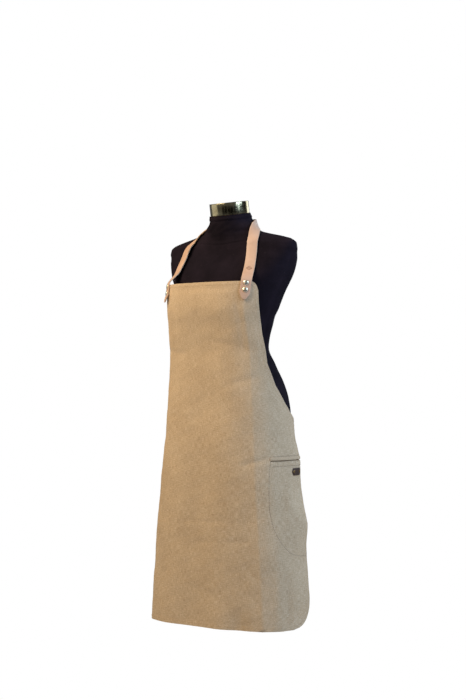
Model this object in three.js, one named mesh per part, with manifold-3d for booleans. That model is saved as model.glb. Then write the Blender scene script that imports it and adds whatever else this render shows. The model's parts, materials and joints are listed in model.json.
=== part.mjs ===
// Canvas bib apron with a leather neck strap, worn by a jersey covered dress form.
// Millimetres, +Z up. The origin is the centre of the underside of the form's stand socket.
// -Y is the wearer's front and +X the wearer's left.
import * as THREE from 'three';
import { mergeVertices } from 'three/addons/utils/BufferGeometryUtils.js';
import Module from 'manifold-3d';

const wasm = await Module();
wasm.setup();

// ---------------------------------------------------------------- driving dimensions
const GAP = 0.3; // clearance between two pieces that touch
const CLOTH_THICKNESS = 1.6;
const STRAP_THICKNESS = 3.0;
const NECK_STRAP_WIDTH = 27.4;
const WAIST_STRAP_WIDTH = 25;
const BUST_SCALE = 1; // widens or narrows the whole dress form
const HEM_Z = -406; // lower edge of the apron
const BIB_TOP_Z = 470;
const SKIRT_HALF_WIDTH = 350; // along the cloth, from centre front to side edge
const BIB_HALF_WIDTH = 146;
const CORNER_Z = 111; // height of the side corners, where the armhole curve ends
const HEM_CORNER_RADIUS = 80;
const POCKET = {
  near: SKIRT_HALF_WIDTH - 153, far: SKIRT_HALF_WIDTH - 15, slit: 16, slitHeight: 5, top: 25, bottom: -228, gap: 2.0,
};
const LABEL = { s: SKIRT_HALF_WIDTH - 59.2, z: -13.3, length: 38, width: 18.5, thickness: 2, rivetSpacing: 27 };
const NECK_RIVET = { head: 13, rise: 3, post: 3.2, cap: 9.5, capRise: 1.8, pitch: 18.4 };
const WAIST_RIVET = { head: 9, rise: 1.8, post: 3, cap: 8.5, capRise: 1.1, pitch: 12.5 };
const LABEL_RIVET = { head: 6.2, rise: 1.6, post: 2.2 };
const STRAP_SEAT = { s: BIB_HALF_WIDTH - 13.6, z: 456, tip: 34, point: 16 }; // neck strap end on the bib
// The gap lets the flat end of a strap of this width clear the curved cloth over it.
const WAIST_SEAT = { s: SKIRT_HALF_WIDTH - 17, z: 97, lap: 9, gap: GAP + (WAIST_STRAP_WIDTH / 2) ** 2 / 260 };
const BACK_Y = 128; // inner face of the waist strap at the small of the back
const BUCKLE = { wire: 1.8, half: 15, height: 19, prong: 1.4, eye: 3.7, keeper: 63, keeperWidth: 9 };
const NECK_LEAN = THREE.MathUtils.degToRad(9.5);
const NECK_TOP = { y: -7.5, z: 655 };
const CAP = { radius: 51.5, height: 31.5, wall: 1.6, roof: 2.2 };
const SPIGOT_RADIUS = 6;
const COVER_THICKNESS = 1.2;
const BOARD_THICKNESS = 12;
const SOCKET = { flange: 45, flangeHeight: 4, tube: 16, bore: 12.8, height: 120, roof: 4 };
const SCREW = { circle: 33, head: 4.4, shank: 2.2, length: 13.5, headDepth: 2.4 };

// Dress form sections, bottom to top: z, half width, front depth, back depth, centre y, roundness.
const FORM = [
  [4, 160, 105, 108, 0, 2.2], [71, 166, 110, 114, 0, 2.2], [131, 166, 111, 116, 0, 2.2],
  [174, 160, 109, 112, 0, 2.2], [216, 146, 103, 104, -1, 2.2], [261, 124, 90, 89, -4, 2.2],
  [303, 105, 82, 79, -7, 2.2], [336, 112, 86, 81, -8, 2.2], [361, 120, 92, 85, -8, 2.2],
  [386, 127, 98, 89, -8, 2.2], [406, 138, 101, 93, -7, 2.2], [427, 145, 101, 96, -6, 2.3],
  [448, 153, 99, 98, -5, 2.4], [469, 164, 95, 99, -4, 2.5], [490, 176, 88, 98, -3, 2.6],
  [510, 184, 78, 95, -2, 2.7], [531, 193, 67, 88, -1, 2.6], [548, 198, 58, 86, -1, 2.3],
  [561, 203, 54, 80, -1, 2.1], [572, 203, 52, 74, 0, 1.95], [577, 200, 51, 70, 0, 1.65],
  [583, 190, 51, 66, 0, 1.45], [588, 171, 52, 64, 0, 1.35], [593, 150, 53, 63, 0, 1.3],
  [599, 122, 54, 61, -1, 1.3], [606, 96, 55, 61, -1, 1.35], [621, 72, 54, 57, -2, 1.75],
  [636, 56, 54, 54, -4, 2.0], [655, 53, 53, 53, -7.5, 2.0],
];
// Sections that the worn cloth follows: z, half width, front depth, back depth.
const DRAPE = [
  [-410, 221, 133, 150], [-300, 214, 131.5, 146], [-200, 206, 130, 140], [-110, 199, 129, 132],
  [0, 185, 128, 120], [94, 175, 125, 113], [200, 168, 120, 112], [285, 163, 119, 110],
  [350, 163, 126, 110], [412, 165, 135, 110], [445, 164, 134, 110], [475, 161, 129, 110],
];
const DRAPE_ROUNDNESS = { front: 3.0, back: 2.4 };
// Armhole edge of the apron: z, distance along the cloth as a share of the bib and skirt widths.
const ARMHOLE = [
  [119, 310], [128, 291], [138.5, 274], [165, 246], [205, 211.4], [261, 182.5],
  [334, 171], [385, 169.7], [446, 165.8], [458, 160.6], [465, 155],
];

// ---------------------------------------------------------------- materials
const finish = (color, roughness, metalness = 0) => new THREE.MeshStandardMaterial({ color, roughness, metalness });
const FINISH = {
  canvas: finish(0xb39772, 0.92),
  leather: finish(0xc99a7c, 0.55),
  darkLeather: finish(0x5d4536, 0.5),
  silver: finish(0xd9d2c0, 0.25, 1),
  antiqueBrass: finish(0x5b4a33, 0.4, 1),
  brass: finish(0xb49a62, 0.22, 1),
  jersey: finish(0x16141a, 0.85),
  foam: finish(0xcfc8b8, 0.8),
  wood: finish(0x9a744c, 0.6),
  steel: finish(0x8c9096, 0.4, 1),
};

// ---------------------------------------------------------------- solids
const V = (x, y, z) => new THREE.Vector3(x, y, z);
const UP = V(0, 0, 1);

/** One closed body from a triangle list: shared corners merged, slivers dropped, faces out. */
function closed(geometry) {
  const bare = new THREE.BufferGeometry();
  bare.setAttribute('position', geometry.getAttribute('position'));
  if (geometry.index) bare.setIndex(geometry.index);
  const merged = mergeVertices(bare, 1e-4);
  const p = merged.getAttribute('position');
  const source = merged.index.array;
  const kept = [];
  let volume = 0;
  for (let i = 0; i < source.length; i += 3) {
    const [a, b, c] = source.slice(i, i + 3);
    if (a === b || b === c || c === a) continue;
    kept.push(a, b, c);
    const [u, v, w] = [a, b, c].map((k) => new THREE.Vector3().fromBufferAttribute(p, k));
    volume += u.dot(v.cross(w));
  }
  if (volume < 0) kept.reverse();
  merged.setIndex(kept);
  merged.computeVertexNormals();
  return merged;
}

function solid(geometry) {
  const clean = closed(geometry);
  return new wasm.Manifold(new wasm.Mesh({
    numProp: 3,
    vertProperties: new Float32Array(clean.getAttribute('position').array),
    triVerts: new Uint32Array(clean.index.array),
  }));
}

function fromManifold(body) {
  const mesh = body.getMesh();
  const result = new THREE.BufferGeometry();
  result.setAttribute('position', new THREE.BufferAttribute(mesh.vertProperties, 3));
  result.setIndex([...mesh.triVerts]);
  return closed(result);
}

/** The geometry with each cutter taken away. */
function cut(geometry, cutters) {
  let body = solid(geometry);
  for (const cutter of cutters) body = body.subtract(solid(cutter));
  return fromManifold(body);
}

function join(first, second) {
  return fromManifold(solid(first).add(solid(second)));
}

/** Skin over rings of equal point counts, split on the shorter diagonal; ends capped unless it loops. */
function loft(rings, loops = false) {
  const size = rings[0].length;
  const points = rings.flat();
  const index = [];
  const spans = loops ? rings.length : rings.length - 1;
  for (let i = 0; i < spans; i++) {
    const next = (i + 1) % rings.length;
    for (let j = 0; j < size; j++) {
      const k = (j + 1) % size;
      const [a, b, c, d] = [i * size + j, i * size + k, next * size + k, next * size + j];
      const split = points[a].distanceTo(points[c]) < points[b].distanceTo(points[d]) + 1e-6;
      index.push(...(split ? [a, b, c, a, c, d] : [a, b, d, b, c, d]));
    }
  }
  if (!loops) {
    for (const [ring, offset, flip] of [[rings[0], 0, true], [rings.at(-1), (rings.length - 1) * size, false]]) {
      const centre = points.length;
      points.push(ring.reduce((sum, q) => sum.add(q), V(0, 0, 0)).divideScalar(size));
      for (let j = 0; j < size; j++) {
        const [a, b] = [offset + j, offset + ((j + 1) % size)];
        index.push(centre, flip ? b : a, flip ? a : b);
      }
    }
  }
  const geometry = new THREE.BufferGeometry().setFromPoints(points);
  geometry.setIndex(index);
  return closed(geometry);
}

/** Turned piece about +Z from a profile of [radius, height] pairs. */
function turned(profile, segments = 12) {
  const geometry = new THREE.LatheGeometry(profile.map(([r, h]) => new THREE.Vector2(r, h)), segments);
  return closed(geometry.rotateX(Math.PI / 2));
}

/** Flat strip of leather along stations {point, width, normal, half}; it lies on its inner face. */
function strip(stations, thickness, inner = 0) {
  return loft(stations.map(({ point, width, normal, half }) => [[1, 1], [-1, 1], [-1, 0], [1, 0]].map(
    ([side, layer]) => point.clone().addScaledVector(width, side * half)
      .addScaledVector(normal, inner + layer * thickness),
  )));
}

const toFrame = (point, normal) => new THREE.Matrix4().compose(
  point, new THREE.Quaternion().setFromUnitVectors(UP, normal), V(1, 1, 1),
);
const at = (geometry, point, normal) => geometry.clone().applyMatrix4(toFrame(point, normal));
const drill = (radius, low, high, segments = 12) => turned([[0, low], [radius, low], [radius, high], [0, high]], segments);

/** Smooth monotone interpolation through rows of [x, v1, v2, ...]. */
function smooth(rows) {
  const n = rows.length;
  const value = (i, k) => rows[i][k];
  const slope = rows[0].map((_, k) => rows.map((__, i) => {
    if (i === 0 || i === n - 1) {
      const j = Math.min(i, n - 2);
      return (value(j + 1, k) - value(j, k)) / (rows[j + 1][0] - rows[j][0]);
    }
    const h0 = rows[i][0] - rows[i - 1][0];
    const h1 = rows[i + 1][0] - rows[i][0];
    const d0 = (value(i, k) - value(i - 1, k)) / h0;
    const d1 = (value(i + 1, k) - value(i, k)) / h1;
    if (d0 * d1 <= 0) return 0;
    const [w0, w1] = [2 * h1 + h0, h1 + 2 * h0];
    return (w0 + w1) / (w0 / d0 + w1 / d1);
  }));
  return (x) => {
    let i = 0;
    while (i < n - 2 && x > rows[i + 1][0]) i++;
    const h = rows[i + 1][0] - rows[i][0];
    const t = (x - rows[i][0]) / h;
    const [t2, t3] = [t * t, t * t * t];
    return rows[0].slice(1).map((_, j) => {
      const k = j + 1;
      return (2 * t3 - 3 * t2 + 1) * value(i, k) + (t3 - 2 * t2 + t) * h * slope[k][i]
        + (3 * t2 - 2 * t3) * value(i + 1, k) + (t3 - t2) * h * slope[k][i + 1];
    });
  };
}

// ---------------------------------------------------------------- dress form surface
const formSection = smooth(FORM);
const FORM_SEGMENTS = 36;
const neckShare = (z) => THREE.MathUtils.clamp((z - 600) / 36, 0, 1);
const formTilt = (z) => Math.tan(NECK_LEAN) * neckShare(z);

/** Point on the form's outer surface at a section height and angle. */
function formPoint(z, angle) {
  const [a, front, back, y, n] = formSection(z);
  const [cx, cy] = [Math.cos(angle), Math.sin(angle)];
  const depth = cy < 0 ? front : back;
  const wide = a * BUST_SCALE;
  const r = ((Math.abs(cx) / wide) ** n + (Math.abs(cy) / depth) ** n) ** (-1 / n);
  return V(r * cx, y + r * cy, z + formTilt(z) * r * cy);
}

/** Ring of the form's surface, moved in along the surface normal by an inset. */
function formRing(z, inset, floor = -Infinity) {
  return Array.from({ length: FORM_SEGMENTS }, (_, j) => {
    const angle = (2 * Math.PI * j) / FORM_SEGMENTS;
    const p = formPoint(z, angle);
    const [dz, da] = [1.5, 0.03];
    const rise = formPoint(Math.min(z + dz, NECK_TOP.z), angle).sub(formPoint(Math.min(z, NECK_TOP.z - dz) - dz, angle));
    const turn = formPoint(z, angle + da).sub(formPoint(z, angle - da));
    const q = p.clone().addScaledVector(turn.cross(rise).normalize(), -inset);
    q.z = Math.max(q.z, floor);
    return q;
  });
}

/** Signed clearance of a point from the form's outer surface, by the section's gauge function. */
function formClearance(point) {
  const gauge = (x, y, z) => {
    let level = Math.min(z, NECK_TOP.z);
    const [, , , y0] = formSection(level);
    level -= formTilt(level) * (y - y0);
    const [a, front, back, yc, n] = formSection(level);
    const depth = y < yc ? front : back;
    return ((Math.abs(x) / (a * BUST_SCALE)) ** n + (Math.abs(y - yc) / depth) ** n) ** (1 / n);
  };
  const { x, y, z } = point;
  const e = 0.5;
  const here = gauge(x, y, z);
  const slope = Math.hypot(
    gauge(x + e, y, z) - gauge(x - e, y, z),
    gauge(x, y + e, z) - gauge(x, y - e, z),
    gauge(x, y, z + e) - gauge(x, y, z - e),
  ) / (2 * e);
  return (here - 1) / slope;
}

// ---------------------------------------------------------------- worn cloth surface
const drapeSection = smooth(DRAPE);
const skirtEdge = (z) => THREE.MathUtils.mapLinear(z, HEM_Z + HEM_CORNER_RADIUS, CORNER_Z, SKIRT_HALF_WIDTH, SKIRT_HALF_WIDTH - 5);
const cornerRows = [0, 22.5, 45, 67.5].map((degrees) => {
  const turn = THREE.MathUtils.degToRad(degrees);
  return [HEM_Z + HEM_CORNER_RADIUS * (1 - Math.cos(turn)), SKIRT_HALF_WIDTH - HEM_CORNER_RADIUS * (1 - Math.sin(turn))];
});
const skirtRows = [HEM_Z + HEM_CORNER_RADIUS, -290, -253, -216, -178, -140, -103, -66, -30, 0, 28, 55, 84, CORNER_Z]
  .map((z) => [z, skirtEdge(z)]);
const bibRows = ARMHOLE.map(([z, s]) => [
  THREE.MathUtils.mapLinear(z, 465, 446, BIB_TOP_Z - 5, BIB_TOP_Z - 24),
  s * THREE.MathUtils.mapLinear(THREE.MathUtils.clamp(z, 119, 334), 119, 334, SKIRT_HALF_WIDTH / 350, BIB_HALF_WIDTH / 146),
]);
const OUTLINE = [...cornerRows, ...skirtRows, ...bibRows, [BIB_TOP_Z, BIB_HALF_WIDTH]];
const edgeAt = (z) => {
  let i = 0;
  while (i < OUTLINE.length - 2 && z > OUTLINE[i + 1][0]) i++;
  return THREE.MathUtils.mapLinear(z, OUTLINE[i][0], OUTLINE[i + 1][0], OUTLINE[i][1], OUTLINE[i + 1][1]);
};

/** Smooth drape position at distance s from the centre front, measured along the cloth. */
const sectionCache = new Map();
function drapePoint(s, z) {
  if (!sectionCache.has(z)) {
    const [a, front, back] = drapeSection(z);
    const samples = [];
    let length = 0;
    for (let i = 0; i <= 360; i++) {
      const angle = (Math.PI * i) / 360;
      const [cx, cy] = [Math.sin(angle), -Math.cos(angle)];
      const [depth, n] = cy < 0 ? [front, DRAPE_ROUNDNESS.front] : [back, DRAPE_ROUNDNESS.back];
      const r = ((Math.abs(cx) / a) ** n + (Math.abs(cy) / depth) ** n) ** (-1 / n);
      const [x, y] = [r * cx, r * cy];
      if (i) length += Math.hypot(x - samples[i - 1].x, y - samples[i - 1].y);
      samples.push({ x, y, length });
    }
    sectionCache.set(z, samples);
  }
  const samples = sectionCache.get(z);
  const side = Math.abs(s);
  let [low, high] = [0, samples.length - 1];
  while (high - low > 1) {
    const middle = (low + high) >> 1;
    if (samples[middle].length < side) low = middle; else high = middle;
  }
  const t = (side - samples[low].length) / (samples[high].length - samples[low].length);
  return V(Math.sign(s || 1) * THREE.MathUtils.lerp(samples[low].x, samples[high].x, t),
    THREE.MathUtils.lerp(samples[low].y, samples[high].y, t), z);
}

const CLOTH_COLUMNS = 36;
const SHARES = Array.from({ length: CLOTH_COLUMNS + 1 }, (_, j) => (2 * j) / CLOTH_COLUMNS - 1);
const LATTICE = OUTLINE.map(([z, edge]) => SHARES.map((share) => {
  const s = share * edge;
  const point = drapePoint(s, z);
  const across = drapePoint(s + 3, z).sub(drapePoint(s - 3, z));
  const rise = drapePoint(s, z + 3).sub(drapePoint(s, z - 3));
  return { point, normal: across.cross(rise).normalize() };
}));

/** Cloth position and normal at share of the edge distance and height, on the woven facets. */
function clothAt(share, z) {
  let i = 0;
  while (i < OUTLINE.length - 2 && z > OUTLINE[i + 1][0]) i++;
  const v = (z - OUTLINE[i][0]) / (OUTLINE[i + 1][0] - OUTLINE[i][0]);
  const column = THREE.MathUtils.clamp(((share + 1) / 2) * CLOTH_COLUMNS, 0, CLOTH_COLUMNS - 1e-9);
  const j = Math.floor(column);
  const u = column - j;
  const blend = (key) => LATTICE[i][j][key].clone().lerp(LATTICE[i][j + 1][key], u)
    .lerp(LATTICE[i + 1][j][key].clone().lerp(LATTICE[i + 1][j + 1][key], u), v);
  return { point: blend('point'), normal: blend('normal').normalize() };
}
const onCloth = (s, z) => clothAt(s / edgeAt(z), z);

/** Layer that follows the cloth between two offsets, from left(z) to right(z) over the rows. */
function layer(rows, left, right, inner, outer) {
  const [low, high] = [rows[0], rows.at(-1)];
  const heights = [...new Set([...rows, ...OUTLINE.map(([z]) => z).filter((z) => z > low && z < high)])]
    .sort((p, q) => p - q);
  const limits = heights.map((z) => [left(z) / edgeAt(z), right(z) / edgeAt(z)]);
  const first = Math.min(...limits.map(([l]) => l));
  const last = Math.max(...limits.map(([, r]) => r));
  const columns = [first, ...SHARES.filter((f) => f > first + 1e-6 && f < last - 1e-6), last];
  const grid = heights.map((z, i) => columns.map((f) => clothAt(THREE.MathUtils.clamp(f, ...limits[i]), z)));
  const size = columns.length;
  const front = grid.map((row) => row.map(({ point, normal }) => point.clone().addScaledVector(normal, outer)));
  const back = grid.map((row) => row.map(({ point, normal }) => point.clone().addScaledVector(normal, inner)));
  const points = [...front.flat(), ...back.flat()];
  const under = grid.length * size;
  const index = [];
  const quad = (a, b, c, d) => index.push(a, b, c, a, c, d);
  for (let i = 0; i < grid.length - 1; i++) {
    for (let j = 0; j < size - 1; j++) {
      const [a, b, c, d] = [i * size + j, i * size + j + 1, (i + 1) * size + j + 1, (i + 1) * size + j];
      quad(a, b, c, d);
      index.push(under + a, under + c, under + b, under + a, under + d, under + c);
    }
    for (const j of [0, size - 1]) {
      const [a, d] = [i * size + j, (i + 1) * size + j];
      if (j === 0) quad(a, d, under + d, under + a); else quad(d, a, under + a, under + d);
    }
  }
  for (const i of [0, grid.length - 1]) {
    for (let j = 0; j < size - 1; j++) {
      const [a, b] = [i * size + j, i * size + j + 1];
      if (i === 0) quad(b, a, under + a, under + b); else quad(a, b, under + b, under + a);
    }
  }
  const geometry = new THREE.BufferGeometry().setFromPoints(points);
  geometry.setIndex(index);
  return closed(geometry);
}

// ---------------------------------------------------------------- assembly
const apron = new THREE.Group();
const form = new THREE.Group();

function add(group, name, geometry, material, point = null, normal = UP) {
  const mesh = new THREE.Mesh(geometry, material);
  mesh.name = name;
  if (point) {
    mesh.position.copy(point);
    mesh.quaternion.setFromUnitVectors(UP, normal);
  }
  group.add(mesh);
  return mesh;
}

/** Rivet through a stack: domed head, post and a closing cap that takes the post's end. */
function rivet(group, name, spec, seat, { top, bottom }, material) {
  const { head, rise, post } = spec;
  const r = head / 2;
  const face = top + GAP;
  const end = bottom - (spec.cap ? GAP + spec.capRise - 0.7 : 0.4);
  add(group, name, turned([
    [0, end], [post / 2, end], [post / 2, face], [r, face], [r, face + rise * 0.35],
    [r * 0.8, face + rise * 0.8], [r * 0.42, face + rise], [0, face + rise],
  ]), material, seat.point, seat.normal);
  if (!spec.cap) return;
  const under = bottom - GAP;
  add(group, `${name}_cap`, turned([
    [0, under - spec.capRise], [spec.cap * 0.36, under - spec.capRise], [spec.cap / 2, under - spec.capRise * 0.5],
    [spec.cap / 2, under], [post / 2 + GAP / 2, under], [post / 2 + GAP / 2, end - GAP / 2], [0, end - GAP / 2],
  ]), material, seat.point, seat.normal);
}

const mirrorX = (v) => V(-v.x, v.y, v.z);
const SIDES = [['left', 1], ['right', -1]];
const holeFor = (spec, seat, low = -12, high = 12) => at(drill(spec.post / 2 + GAP, low, high), seat.point, seat.normal);

// Neck strap seats: a flat frame that touches the bib cloth, with the strap direction in it.
function strapSeat({ s, z }, side, along) {
  const { point, normal } = onCloth(side * s, z);
  const direction = along.clone().addScaledVector(normal, -along.dot(normal)).normalize();
  return { point, normal, direction, width: normal.clone().cross(direction) };
}
const neckSeats = SIDES.map(([name, side]) => {
  const lean = onCloth(side * (STRAP_SEAT.s + 1), BIB_TOP_Z).point.sub(onCloth(side * (STRAP_SEAT.s - 2.5), STRAP_SEAT.z - 30).point);
  const seat = strapSeat(STRAP_SEAT, side, lean);
  return { name, side, seat, rivets: [0.5, -0.5].map((k) => ({
    normal: seat.normal, point: seat.point.clone().addScaledVector(seat.direction, k * NECK_RIVET.pitch),
  })) };
});
const waistSeats = SIDES.map(([name, side]) => {
  const ahead = onCloth(side * (WAIST_SEAT.s + 8), WAIST_SEAT.z).point.sub(onCloth(side * (WAIST_SEAT.s - 8), WAIST_SEAT.z).point);
  const seat = strapSeat(WAIST_SEAT, side, ahead);
  return { name, side, seat, rivets: [0.5, -0.5].map((k) => ({
    normal: seat.normal, point: seat.point.clone().addScaledVector(seat.width, side * k * WAIST_RIVET.pitch),
  })) };
});
const labelSeat = strapSeat(LABEL, 1, onCloth(LABEL.s + 8, LABEL.z).point.sub(onCloth(LABEL.s - 8, LABEL.z).point));
const labelRivets = [-0.5, 0.5].map((k) => ({
  normal: labelSeat.normal, point: labelSeat.point.clone().addScaledVector(labelSeat.direction, k * LABEL.rivetSpacing),
}));
const neckHoles = neckSeats.flatMap(({ rivets }) => rivets.map((r) => holeFor(NECK_RIVET, r)));
const waistHoles = waistSeats.flatMap(({ rivets }) => rivets.map((r) => holeFor(WAIST_RIVET, r)));
const labelHoles = labelRivets.map((r) => holeFor(LABEL_RIVET, r, -CLOTH_THICKNESS - 0.8, 8));

// Apron panel: one C-shaped sheet of canvas, with the pocket slit and the rivet holes.
const slit = layer(
  [POCKET.slit - POCKET.slitHeight / 2, POCKET.slit + POCKET.slitHeight / 2],
  () => POCKET.near, () => POCKET.far, -CLOTH_THICKNESS - 1, 1,
);
const panel = layer(OUTLINE.map(([z]) => z), (z) => -edgeAt(z), edgeAt, -CLOTH_THICKNESS, 0);
add(apron, 'apron_panel', cut(panel, [slit, ...neckHoles, ...waistHoles, ...labelHoles]), FINISH.canvas);

// Pocket: a welt over the slit and the bag behind, with its J-shaped front edge.
const bagEdge = smooth([
  [POCKET.bottom, 84], [-222, 65], [-215, 53], [-188, 27], [-156, 7], [-121, -4], [-76, -7], [POCKET.top, -8],
].map(([z, s]) => [z, POCKET.near + s]));
const bagOuter = -CLOTH_THICKNESS - POCKET.gap;
add(apron, 'pocket_bag', layer(
  [POCKET.bottom, -222, -215, -200, -188, -172, -156, -138, -121, POCKET.top],
  (z) => bagEdge(z)[0], (z) => edgeAt(z) - 9, bagOuter - 1.2, bagOuter,
), FINISH.canvas);
add(apron, 'pocket_welt', layer(
  [POCKET.slit + POCKET.slitHeight / 2 - 1.2, POCKET.top], () => POCKET.near - 2, (z) => edgeAt(z) - 9, GAP, GAP + 1.2,
), FINISH.canvas);
add(apron, 'pocket_facing', layer(
  [POCKET.slit - POCKET.slitHeight / 2 - 14, POCKET.slit - POCKET.slitHeight / 2],
  () => POCKET.near - 2, (z) => edgeAt(z) - 9, -CLOTH_THICKNESS - GAP - 1.2, -CLOTH_THICKNESS - GAP,
), FINISH.canvas);

// Leather label with a rivet near each end.
const labelHalf = LABEL.length / 2;
add(apron, 'label', cut(strip([[-1, 0.35], [-0.82, 1], [0.82, 1], [1, 0.35]].map(([along, share]) => ({
  point: labelSeat.point.clone().addScaledVector(labelSeat.direction, along * labelHalf),
  width: labelSeat.width, normal: labelSeat.normal, half: (share * LABEL.width) / 2,
})), LABEL.thickness, GAP), labelHoles), FINISH.darkLeather);
labelRivets.forEach((seat, i) => {
  rivet(apron, `label_rivet_${i ? 'back' : 'front'}`, LABEL_RIVET, seat,
    { top: GAP + LABEL.thickness, bottom: -CLOTH_THICKNESS + 0.3 }, FINISH.antiqueBrass);
});

// Neck strap: one length of leather from bib corner to bib corner, round the back of the neck.
const SHOULDER_PATH = [ // point on the strap's inner face, and the direction of its inner edge
  [[119, -83, 497], [-0.89, -0.44, 0.1]], [[112, -63, 525], [-0.93, -0.36, 0.05]],
  [[105, -48, 556], [-0.93, -0.34, 0.12]], [[96, -31.5, 588], [-0.88, -0.2, 0.42]],
  [[80, -10, 609], [-0.72, 0.05, 0.69]], [[66, 10, 621], [-0.5, 0.15, 0.84]],
  [[47, 35, 629], [-0.15, 0, 0.98]], [[25, 51.5, 632], [0, 0, 1]], [[0, 57, 633], [0, 0, 1]],
];
const half = NECK_STRAP_WIDTH / 2;
const strapEnd = neckSeats[0].seat;
const endStations = [[-STRAP_SEAT.tip, 1.2], [-STRAP_SEAT.point, half], [0, half], [16, half]].map(([along, h]) => ({
  point: strapEnd.point.clone().addScaledVector(strapEnd.direction, along),
  width: strapEnd.width, normal: strapEnd.normal, half: h,
}));
const controls = [
  { point: endStations[2].point, width: strapEnd.width }, { point: endStations[3].point, width: strapEnd.width },
  ...SHOULDER_PATH.map(([p, w]) => ({ point: V(...p), width: V(...w) })),
];
const beyond = { point: mirrorX(controls.at(-2).point), width: mirrorX(controls.at(-2).width) };
const strapCurve = new THREE.CatmullRomCurve3([...controls, beyond].map((c) => c.point), false, 'centripetal');
const widthCurve = new THREE.CatmullRomCurve3([...controls, beyond].map((c) => c.width), false, 'centripetal');
const STRAP_STEPS = 26;
const shoulderStations = Array.from({ length: STRAP_STEPS }, (_, i) => {
  const t = THREE.MathUtils.mapLinear(i + 1, 0, STRAP_STEPS, 1, controls.length - 1) / controls.length;
  const tangent = strapCurve.getTangent(t);
  const width = widthCurve.getPoint(t);
  width.addScaledVector(tangent, -width.dot(tangent)).normalize();
  const normal = tangent.clone().cross(width).normalize();
  const point = strapCurve.getPoint(t);
  for (let pass = 0; pass < 3; pass++) { // rest on the form with at least the touching gap
    const clearance = Math.min(...[-1, -0.5, 0, 0.5, 1].map((k) => (
      formClearance(point.clone().addScaledVector(width, k * half)))));
    if (clearance < 1.2) point.addScaledVector(normal, 1.2 - clearance);
  }
  return { point, width, normal, half };
});
const leftHalf = [...endStations, ...shoulderStations];
Object.assign(leftHalf.at(-1).normal, { x: 0, y: 1, z: 0 });
Object.assign(leftHalf.at(-1).width, { x: 0, y: 0, z: 1 });
const rightHalf = leftHalf.slice(0, -1).reverse().map((s) => ({
  point: mirrorX(s.point), width: mirrorX(s.width), normal: mirrorX(s.normal), half: s.half,
}));
add(apron, 'neck_strap', cut(strip([...leftHalf, ...rightHalf], STRAP_THICKNESS, GAP), neckHoles), FINISH.leather);

// Bib corners: a leather backing behind the cloth and two rivets through the stack.
const BACKING = { halfWidth: 15, low: 436, high: 468, thickness: 1.5 };
for (const { name, side, rivets } of neckSeats) {
  const inner = -CLOTH_THICKNESS - GAP - BACKING.thickness;
  const s = side * STRAP_SEAT.s;
  const backing = layer([BACKING.low, BACKING.high], () => s - BACKING.halfWidth, () => s + BACKING.halfWidth,
    inner, inner + BACKING.thickness);
  add(apron, `bib_backing_${name}`, cut(backing, neckHoles), FINISH.leather);
  rivets.forEach((seat, i) => rivet(apron, `neck_rivet_${name}_${i ? 'lower' : 'upper'}`, NECK_RIVET, seat,
    { top: GAP + STRAP_THICKNESS, bottom: inner - 0.9 }, FINISH.silver));
}

// Waist straps: riveted under the side corners, joined by a heel bar buckle at the small of the back.
const waistHalf = WAIST_STRAP_WIDTH / 2;
const inY = BACK_Y + STRAP_THICKNESS / 2; // middle of the strap that lies nearest the form
const BAR = { x: BUCKLE.half, y: inY + STRAP_THICKNESS / 2 + BUCKLE.wire + GAP };
const overY = BAR.y + BUCKLE.wire + GAP + STRAP_THICKNESS; // outer face of the fold round the bar
const corner = (seat, side) => {
  const start = [-WAIST_SEAT.lap, 0, 15].map((k) => seat.point.clone().addScaledVector(seat.direction, k)
    .addScaledVector(seat.normal, -CLOTH_THICKNESS - WAIST_SEAT.gap - STRAP_THICKNESS / 2));
  return [...start, ...plan([[side * 108, 109], [side * 91, 121], [side * 74, inY]])];
};
const plan = (pairs) => pairs.map(([x, y]) => V(x, y, WAIST_SEAT.z));

/** Leather strip standing on edge along a plan path of middle points; its first three lie flat under the cloth. */
function waistStrip(path, { seat }, side) {
  return strip(path.map((point, i) => {
    const before = path[Math.max(i - 1, 0)];
    const after = path[Math.min(i + 1, path.length - 1)];
    const tangent = i < 2 ? seat.direction : after.clone().sub(before).normalize();
    const width = i < 3 ? seat.width.clone().multiplyScalar(side) : UP;
    const normal = tangent.clone().cross(width).normalize();
    return {
      point: point.clone().addScaledVector(normal, -STRAP_THICKNESS / 2), width, normal, half: waistHalf,
    };
  }), STRAP_THICKNESS);
}
const box = (x0, x1, y0, y1, z0, z1) => new THREE.BoxGeometry(x1 - x0, y1 - y0, z1 - z0)
  .translate((x0 + x1) / 2, (y0 + y1) / 2, (z0 + z1) / 2);
const level = (halfHeight) => [WAIST_SEAT.z - halfHeight, WAIST_SEAT.z + halfHeight];
const layerPitch = STRAP_THICKNESS + GAP;
const foldRadius = BUCKLE.wire + GAP + STRAP_THICKNESS / 2;
const fold = [-90, -126, -162, 162, 126, 90].map((degrees) => {
  const turn = THREE.MathUtils.degToRad(degrees);
  return [BAR.x + foldRadius * Math.cos(turn), BAR.y + foldRadius * Math.sin(turn)];
});
const overMiddle = overY + GAP + STRAP_THICKNESS / 2;
const [leftWaist, rightWaist] = waistSeats;
add(apron, 'waist_strap_buckle_side', cut(waistStrip([
  ...corner(leftWaist.seat, 1), ...plan([[30, inY], ...fold, [22, BAR.y + foldRadius - 0.8]]),
  ...plan([[30, inY + layerPitch], [44, inY + layerPitch]]),
], leftWaist, 1), [...waistHoles, box(BAR.x - 12, BAR.x + 5.2, inY - 4, overY + 2, ...level(3.2))]), FINISH.leather);
add(apron, 'waist_strap_free_side', cut(waistStrip([
  ...corner(rightWaist.seat, -1), ...plan([[-20, inY], [-13, inY], [9, overMiddle], [21, overMiddle]]),
  ...plan([[33, inY + 2 * layerPitch], [45, inY + 2 * layerPitch], [54, inY + layerPitch], [98, inY + layerPitch]]),
], rightWaist, -1), [...waistHoles, box(-7.5, 10.5, inY - 6, overMiddle + 6, ...level(2.6))]), FINISH.leather);
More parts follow.
